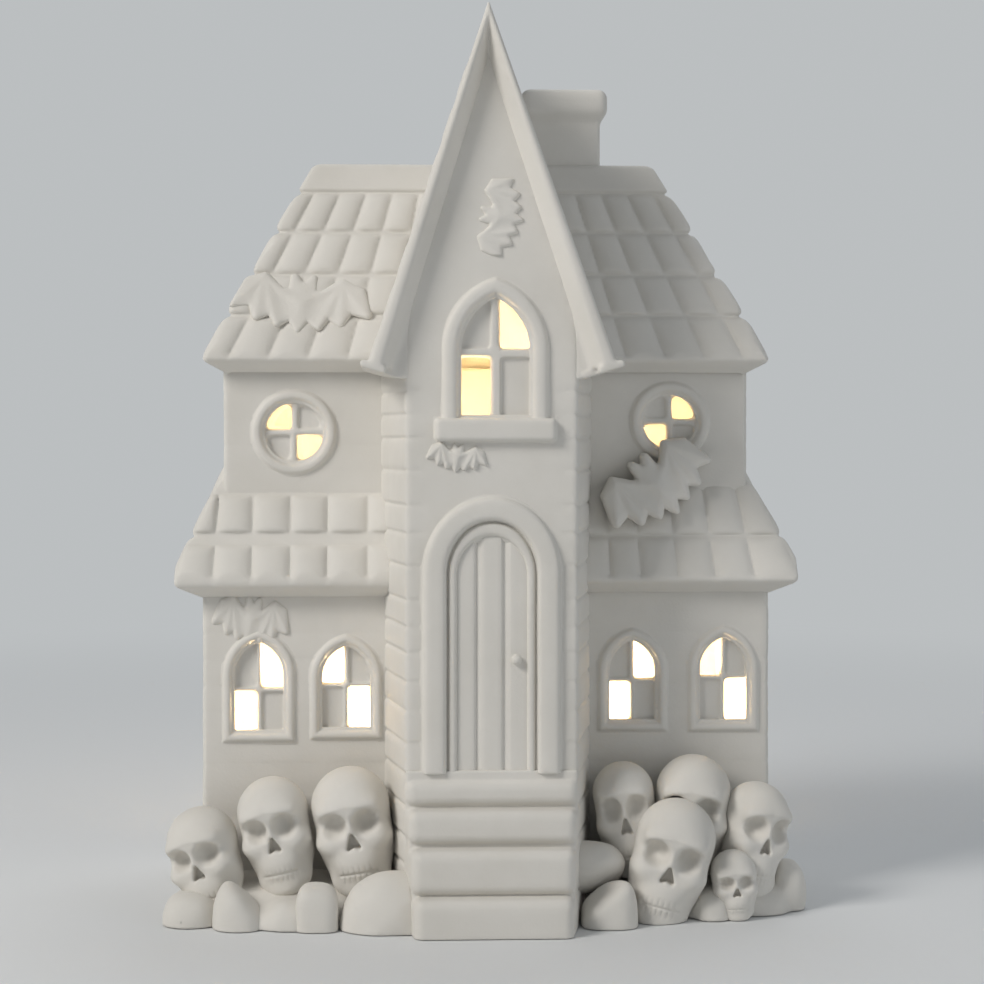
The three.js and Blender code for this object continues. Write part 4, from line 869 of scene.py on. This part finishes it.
LEFT_LUMPS = (
    ((-98.0, -46, 1.5), (9.2, 10, 9)),
    ((-65.5, -53, 0.5), (8.0, 9, 8.6)),
    ((-76, -50, 0), (9, 9, 5)),
)
RIGHT_LUMPS = (
    ((101.0, -30, 5.5), (6.1, 9, 10.5)),
    ((90, -36, 1), (9, 9, 7)),
    ((73.5, -45, 1), (6, 8, 8.5)),
)
# middle, half width, front and height of the bed, its lumps, and the corners of its grid
MOUNDS = {
    "left_mound": ((-70, 36, -50, 12), LEFT_LUMPS, (-107.5, -66, -0.5), (-33.0, -16, 20)),
    "right_mound": ((66, 37, -47, 12), RIGHT_LUMPS, (28.0, -60, -0.5), (107.5, -16, 20)),
}
for name, (bed, lumps, low, high) in MOUNDS.items():
    def field(x, y, z, bed=bed, lumps=lumps):
        return rubble(x, y, z, bed, lumps)
    cast(name, low, high, field)


# Skulls
def skull(x, y, z, cx, cy, cz, width, turn, roll, tall=1.0):
    """A skull in half widths: s to one side, f forward, u up, all from the middle of the brain case."""
    w = width / 2
    s = ((x - cx) * math.cos(turn) + (y - cy) * math.sin(turn)) / w
    f = ((x - cx) * math.sin(turn) - (y - cy) * math.cos(turn)) / w
    u = (z - cz) / w
    s, u = s * math.cos(roll) + u * math.sin(roll), u * math.cos(roll) - s * math.sin(roll)
    u = np.where(u < 0, u / tall, u)
    a = np.abs(s)
    e = ellipsoid
    # Brain case, face, brows, cheekbones and jaw, hollow cheeks, mouth and chin
    head = e(s, f, u, (0, -0.12, 0), (1.0, 1.14, 1.0))
    head = soft_min(head, e(s, f, u, (0, -0.04, -0.8), (0.97, 0.92, 1.35)), 0.2)
    head = soft_min(head, e(a, f, u, (0.3, 0.76, 0.08), (0.44, 0.24, 0.19)), 0.35)
    head = soft_min(head, e(a, f, u, (0.58, 0.48, -0.78), (0.36, 0.4, 0.32)), 0.3)
    head = soft_min(head, e(s, f, u, (0, 0.28, -1.8), (0.72, 0.56, 0.46)), 0.3)
    head = soft_max(head, -e(a, f, u, (1.04, 0.84, -1.32), (0.26, 0.46, 0.34)), 0.35)
    head = soft_min(head, e(s, f, u, (0, 0.62, -1.32), (0.5, 0.36, 0.4)), 0.25)
    head = soft_min(head, e(s, f, u, (0, 0.56, -2.02), (0.4, 0.28, 0.18)), 0.2)
    # A shallow mask round the eyes, the bridge of the nose, the sockets and the nose hole
    shelf = np.clip((1 - length(s / 0.86, (u + 0.28) / 0.44)) / 0.22, 0, 1)
    shelf = shelf * shelf * (3 - 2 * shelf) * np.clip((u + 0.85) / 0.4, 0, 1) * np.clip(f / 0.3, 0, 1)
    head = head + 0.03 * shelf
    head = soft_min(head, e(s, f, u, (0, 0.76, -0.46), (0.15, 0.22, 0.36)), 0.18)
    head = soft_max(head, -e(a, f, u, (0.41, 0.92, -0.3), (0.31, 0.52, 0.31)), 0.16)
    nose = polygon(s, u, [(0, -0.6), (0.13, -0.92), (0, -0.87), (-0.13, -0.92)]) - 0.05
    head = soft_max(head, -soft_max(nose, 0.55 - f, 0.1), 0.08)
    # The line between the rows of teeth, and the gaps between teeth
    line = np.abs(u + 1.56 + 0.1 * a * a)
    teeth = 0.035 * np.exp(-(line / 0.035) ** 2)
    between = np.abs((a / 0.14) % 1 - 0.5) * 0.28
    row = np.clip(1 - line / 0.26, 0, 1) ** 0.5
    gaps = 0.028 * np.exp(-(between / 0.035) ** 2) * row
    teeth = np.maximum(teeth, gaps) * np.clip((0.52 - a) / 0.08, 0, 1)
    head = head + np.where(f > 0.4, teeth, 0)
    return head * w * 0.95


# middle of the brain case, width, turn, roll, and how much taller the face is
SKULLS = {
    "left_skull_1": (-95.9, -36, 24.6, 23.2, -0.26, 0.3, 0.98),
    "left_skull_2": (-72.4, -35, 34.0, 23.6, -0.11, 0.24, 1.03),
    "left_skull_3": (-46.5, -35, 35.9, 26.2, -0.06, 0.18, 1.0),
    "right_skull_1": (45.1, -32.5, 39.4, 20.6, -0.13, 0.13, 1.25),
    "right_skull_2": (69.0, -31, 39.0, 25.4, -0.14, -0.1, 1.0),
    "right_skull_3": (61.2, -46, 26.2, 26.4, -0.12, -0.25, 1.02),
    "right_skull_4": (90.4, -34, 32.1, 21.6, 0.32, -0.17, 1.15),
    "right_skull_5": (80.4, -46, 14.8, 15.2, -0.02, 0.07, 0.9),
}
for name, spec in SKULLS.items():
    cx, cy, cz, width = spec[:4]
    r = width * 0.62 + 1
    low = (cx - r - 1.5, cy - r, max(cz - width * 1.32, -0.4))
    high = (cx + r + 1.5, min(cy + r, LOWER[1] + 2), cz + width * 0.56)

    def field(x, y, z, spec=spec):
        return on_ground(skull(x, y, z, *spec), y, z)
    cast(name, low, high, field, 0.3 if width > 16 else 0.25)

# Rocks beside the steps: centre, radii, power and facets, as boulder takes them
STONES = {
    "left_rock_1": ((-82.0, -53, 2.5), (8.6, 9, 13.4), 2.3, (((0.75, -0.1, 0.7), 7.0),)),
    "left_rock_2": ((-56.6, -57, 3.0), (7.0, 7, 12.0), 3.4, (((0.5, -0.5, 0.8), 10.5),)),
    "left_rock_3": ((-31.6, -56, -1.0), (18.0, 13, 19.4), 2.2, (((0.1, -0.85, -0.5), 11.0),)),
    "right_rock_1": ((32.6, -45, 16.5), (12.0, 9, 9.0), 2.3, (((0.4, -0.6, -0.7), 6.5),)),
    "right_rock_2": ((38.2, -56, 2.5), (9.2, 8, 13.0), 2.8, (((-0.55, -0.2, 0.8), 8.5),)),
}
for name, spec in STONES.items():
    centre, radii = spec[:2]

    def field(x, y, z, spec=spec, side=math.copysign(1, centre[0])):
        stone = boulder(x, y, z, *spec)
        return np.maximum(np.maximum(stone, GROUND - z), step_side(y) - 0.6 - side * x)
    low = (centre[0] - radii[0] - 1, centre[1] - radii[1] - 1, -0.4)
    high = tuple(c + r + 1 for c, r in zip(centre, radii))
    cast(name, low, high, field, 0.4)

# Bats
# outline of half a bat, in half spans, from the tail to the head
BAT_HALF = (
    (0, -0.42), (0.12, -0.2), (0.3, -0.34), (0.42, -0.14), (0.62, -0.26), (0.72, -0.02), (1, -0.08),
    (0.86, 0.32), (0.58, 0.44), (0.3, 0.2), (0.16, 0.22), (0.14, 0.46), (0.05, 0.34),
)
BAT = [*BAT_HALF, *((-a, b) for a, b in BAT_HALF[:0:-1])]
WRIST = (0.58, 0.42)
BAT_BONES = (
    ((0.12, 0.1), WRIST),
    (WRIST, (0.98, -0.06)),
    (WRIST, (0.62, -0.22)),
    ((0.56, 0.4), (0.32, -0.3)),
)


def bat_relief(p, q, span, tilt, tall):
    """The outline's distance and the height of its bones and body, in the plane of the bat."""
    k = 2 / span
    a = (p * math.cos(tilt) + q * math.sin(tilt)) * k
    b = (q * math.cos(tilt) - p * math.sin(tilt)) * k / tall
    edge = polygon(a, b, BAT) / k
    bones = np.float32(9)
    for bone in BAT_BONES:
        bones = np.minimum(bones, segment(np.abs(a), b, *bone))
    ridges = np.exp(-(bones / 0.07) ** 2)
    body = np.exp(-(a / 0.12) ** 2 - ((b - 0.02) / 0.26) ** 2)
    return edge, ridges, body


def bat(node, centre, span, tilt, lift, thick, step=0.35, sink=1.5, tall=1.0, soft=1.0, trim=None):
    """lift gives the distance out of the surface under the bat, and how far up along it a point is."""
    cx, cy, cz = centre
    reach = span * 0.6

    def field(x, y, z):
        out, up = lift(x, y, z)
        edge, ridges, body = bat_relief(x - cx, up, span - 2 * soft, tilt, tall)
        top = out - (thick * 0.62 + thick * 0.22 * ridges + thick * 0.45 * body)
        shape = soft_max(edge - soft, top, thick)
        if trim:
            shape = soft_max(shape, trim(x, y, z), 1.0)
        return np.maximum(shape, -out - sink)
    low = (cx - reach, cy - 16, cz - reach * 0.75)
    high = (cx + reach, cy + 12, cz + reach * 0.75)
    cast(node, low, high, field, step)


def wall_relief(node, cx, face, cz, span, tilt, thick, **more):
    """A bat on an upright wall."""
    def lift(x, y, z):
        return face - y, z - cz
    bat(node, (cx, face, cz), span, tilt, lift, thick, **more)


wall_relief("tower_bat", -11.4, TOWER_FRONT, 152, 20.5, -0.12, 1.8, soft=0.7)
wall_relief("gable_bat", 3.4, TOWER_FRONT, 230.5, 28, 1.42, 1.4, tall=1.1, soft=0.9)
wall_relief("wall_bat", -80.5, LOWER[1], 96.0, 27, -0.15, 1.5, tall=1.3, soft=1.2)

ROOF_BAT = (-64, -11, 204.5)
SKIRT_BAT = (58.5, -20.5, 142)


def on_roof(x, y, z):
    return hip_faces(x, y, z, ROOF_REACH, ROOF_NOSE, ROOF_TOP)[0], (z - ROOF_BAT[2]) / 0.8963


def roof_end(x, y, z):
    return hip_faces(x, y, z, ROOF_REACH, ROOF_NOSE, ROOF_TOP)[1] - 0.9


def on_skirt(x, y, z):
    """Over the plane that the skirt bat lies on, which leans back."""
    back = 0.26
    out = (SKIRT_BAT[1] - y) * math.cos(back) + (z - SKIRT_BAT[2]) * math.sin(back)
    return out, (z - SKIRT_BAT[2]) / math.cos(back)


bat("roof_bat", ROOF_BAT, 50, -0.1, on_roof, 2.2, step=0.45, sink=2.5, soft=1.6, trim=roof_end)
bat("skirt_bat", SKIRT_BAT, 42, 0.62, on_skirt, 2.8, step=0.4, sink=6.0, tall=1.2, soft=1.5)

# Battery light, from the middle of its underside
LIGHT_PLACE = (0, 24, 5.3)
CASE_RADIUS = 34
CASE_HEIGHT = 18
CASE_WALL = 2
LED_RING = 13
LED_HOLE = 2.8
SLOT_HALF = 4.1       # the slot for the switch
SLOT_LEVEL = 9.15
MOUTH_HALF = 17.5     # the opening for the battery door
MOUTH_TOP = 2.6
DOME_FOOT = 18.3
DOME_SPRING = 24.3
DOME_RADIUS = 29
DOME_WALL = 1.6


def light_piece(node, low, high, field, finish):
    piece = surface(node + "_cast", low, high, field, 0.4)
    piece.location = Vector(LIGHT_PLACE) * MM
    bpy.context.view_layer.update()
    piece.data.materials.append(finish)
    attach(piece, "light_unit")
    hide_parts(node)


def housing(x, y, z):
    """A round case with a gripped rim, holes for the lamps, and openings for switch and battery door."""
    r = length(x, y)
    shell = rounded(r - CASE_RADIUS, np.abs(z - CASE_HEIGHT / 2) - CASE_HEIGHT / 2, 1.4)
    inside = rounded(r - (CASE_RADIUS - CASE_WALL), z - (CASE_HEIGHT - CASE_WALL), 0.8)
    shell = np.maximum(shell, -np.maximum(inside, -z - 2))
    grip = np.sin(np.arctan2(y, x) * 48)
    band = np.clip(1 - np.abs(z - 11) / 4.5, 0, 1)
    away = np.clip((12 - y) / 4, 0, 1)
    shell = shell + 0.3 * band * away * np.maximum(grip, 0) * (r > 30)
    for i in range(3):
        angle = -math.pi / 2 + 2 * math.pi * i / 3
        hole = length(x - LED_RING * math.cos(angle), y - LED_RING * math.sin(angle)) - LED_HOLE
        shell = np.maximum(shell, -np.maximum(hole, 14 - z))
    switch = np.maximum(np.abs(x) - SLOT_HALF, np.maximum(np.abs(z - SLOT_LEVEL) - 1.5, 26 - y))
    shell = soft_max(shell, -switch, 0.4)
    mouth = np.maximum(np.abs(x) - MOUTH_HALF, np.maximum(z - MOUTH_TOP, -y))
    return np.maximum(shell, -mouth)


def dome(x, y, z, radius):
    """Distances to a low dome and to the straight foot under it."""
    head = ellipsoid(x, y, z, (0, 0, DOME_SPRING), (radius, radius, radius - 15))
    return head, length(x, y) - radius


def diffuser(x, y, z):
    head, foot = dome(x, y, z, DOME_RADIUS)
    outer = np.where(z < DOME_SPRING, foot, rounded(head, DOME_FOOT - z, 0.1))
    head, foot = dome(x, y, z, DOME_RADIUS - DOME_WALL)
    inner = np.where(z < DOME_SPRING, foot, head)
    return np.maximum(soft_max(outer, DOME_FOOT - z, 0.4), -inner)


light_piece("light_housing", (-35, -35, -1), (35, 35, 19), housing, white_plastic)
light_piece("light_diffuser", (-30, -30, 17.5), (30, 30, 39), diffuser, frosted)

# Studio floor and backdrop
BACKDROP = (0.50, 0.52, 0.53, 1)
FLOOR_HALF = 6      # metres, as all that follows

floor_mesh = bpy.data.meshes.new("floor")
floor_corners = [(sx * FLOOR_HALF, sy * FLOOR_HALF, 0) for sx, sy in ((-1, -1), (1, -1), (1, 1), (-1, 1))]
floor_mesh.from_pydata(floor_corners, [], [(0, 1, 2, 3)])
floor = bpy.data.objects.new("floor", floor_mesh)
bpy.context.scene.collection.objects.link(floor)
floor_paint, tree, shader = material("floor")
shader.inputs["Roughness"].default_value = 0.8
grain(tree, shader, ((0.74, 0.75, 0.755), (0.75, 0.76, 0.765)), 2, 0.0, 0.0001)
floor_mesh.materials.append(floor_paint)


def seen_directly(tree):
    """1 for the rays that show the background and 0 for those that light the house."""
    path = tree.nodes.new("ShaderNodeLightPath")
    total = path.outputs["Is Camera Ray"]
    for kind in ("Is Glossy Ray", "Is Transmission Ray"):
        add = tree.nodes.new("ShaderNodeMath")
        add.operation = "ADD"
        add.use_clamp = True
        tree.links.new(total, add.inputs[0])
        tree.links.new(path.outputs[kind], add.inputs[1])
        total = add.outputs["Value"]
    return total


def mixed(tree, share, first, second):
    """A shader that goes from the first to the second as share goes from 0 to 1."""
    mix = tree.nodes.new("ShaderNodeMixShader")
    tree.links.new(share, mix.inputs["Fac"])
    tree.links.new(first, mix.inputs[1])
    tree.links.new(second, mix.inputs[2])
    return mix.outputs["Shader"]


# The floor runs into the backdrop's colour away from the house, so no horizon shows.
place = tree.nodes.new("ShaderNodeTexCoord")
away = tree.nodes.new("ShaderNodeVectorMath")
away.operation = "LENGTH"
tree.links.new(place.outputs["Object"], away.inputs[0])
fade = tree.nodes.new("ShaderNodeMapRange")
fade.interpolation_type = "SMOOTHSTEP"
fade.inputs["From Min"].default_value = 0.2
fade.inputs["From Max"].default_value = 1.1
tree.links.new(away.outputs["Value"], fade.inputs["Value"])
both = tree.nodes.new("ShaderNodeMath")
both.operation = "MULTIPLY"
tree.links.new(fade.outputs["Result"], both.inputs[0])
tree.links.new(seen_directly(tree), both.inputs[1])
pale = tree.nodes.new("ShaderNodeEmission")
pale.inputs["Color"].default_value = BACKDROP
ending = next(n for n in tree.nodes if n.type == "OUTPUT_MATERIAL")
blend = mixed(tree, both.outputs["Value"], shader.outputs["BSDF"], pale.outputs["Emission"])
tree.links.new(blend, ending.inputs["Surface"])

world = bpy.data.worlds.new("studio")
bpy.context.scene.world = world
world.use_nodes = True
tree = world.node_tree
room = tree.nodes["Background"]
room.inputs["Color"].default_value = (0.9, 0.95, 1.0, 1)
room.inputs["Strength"].default_value = 0.22
shown = tree.nodes.new("ShaderNodeBackground")
shown.inputs["Color"].default_value = BACKDROP
blend = mixed(tree, seen_directly(tree), room.outputs["Background"], shown.outputs["Background"])
tree.links.new(blend, tree.nodes["World Output"].inputs["Surface"])

# Lamps and camera
AIM = (0, 0, 0.14)


def area_light(name, place, size, power, colour):
    """A square lamp that faces the middle of the house."""
    lamp = bpy.data.lights.new(name, "AREA")
    lamp.shape = "RECTANGLE"
    lamp.size = lamp.size_y = size
    lamp.energy = power
    lamp.color = colour
    rig = bpy.data.objects.new(name, lamp)
    rig.location = place
    rig.rotation_euler = (Vector(AIM) - Vector(place)).to_track_quat("-Z", "Y").to_euler()
    bpy.context.scene.collection.objects.link(rig)


area_light("key", (-1.0, -0.75, 0.95), 0.5, 12.5, (1.0, 0.97, 0.93))
area_light("fill", (1.1, -0.7, 0.5), 0.9, 2.4, (0.92, 0.96, 1.0))
area_light("top", (0.2, 0.7, 1.2), 0.8, 4, (0.96, 0.98, 1.0))

camera_data = bpy.data.cameras.new("camera")
camera_data.sensor_width = 36
camera_data.lens = 78.8
camera_data.shift_y = -0.0528
camera_data.clip_start = 0.01
camera = bpy.data.objects.new("camera", camera_data)
camera.location = (-0.03053, -0.75433, 0.158)
camera.rotation_euler = (math.pi / 2, 0, math.radians(-2.5))
bpy.context.scene.collection.objects.link(camera)
bpy.context.scene.camera = camera
bpy.context.scene.view_settings.view_transform = "Standard"

bpy.context.view_layer.update()
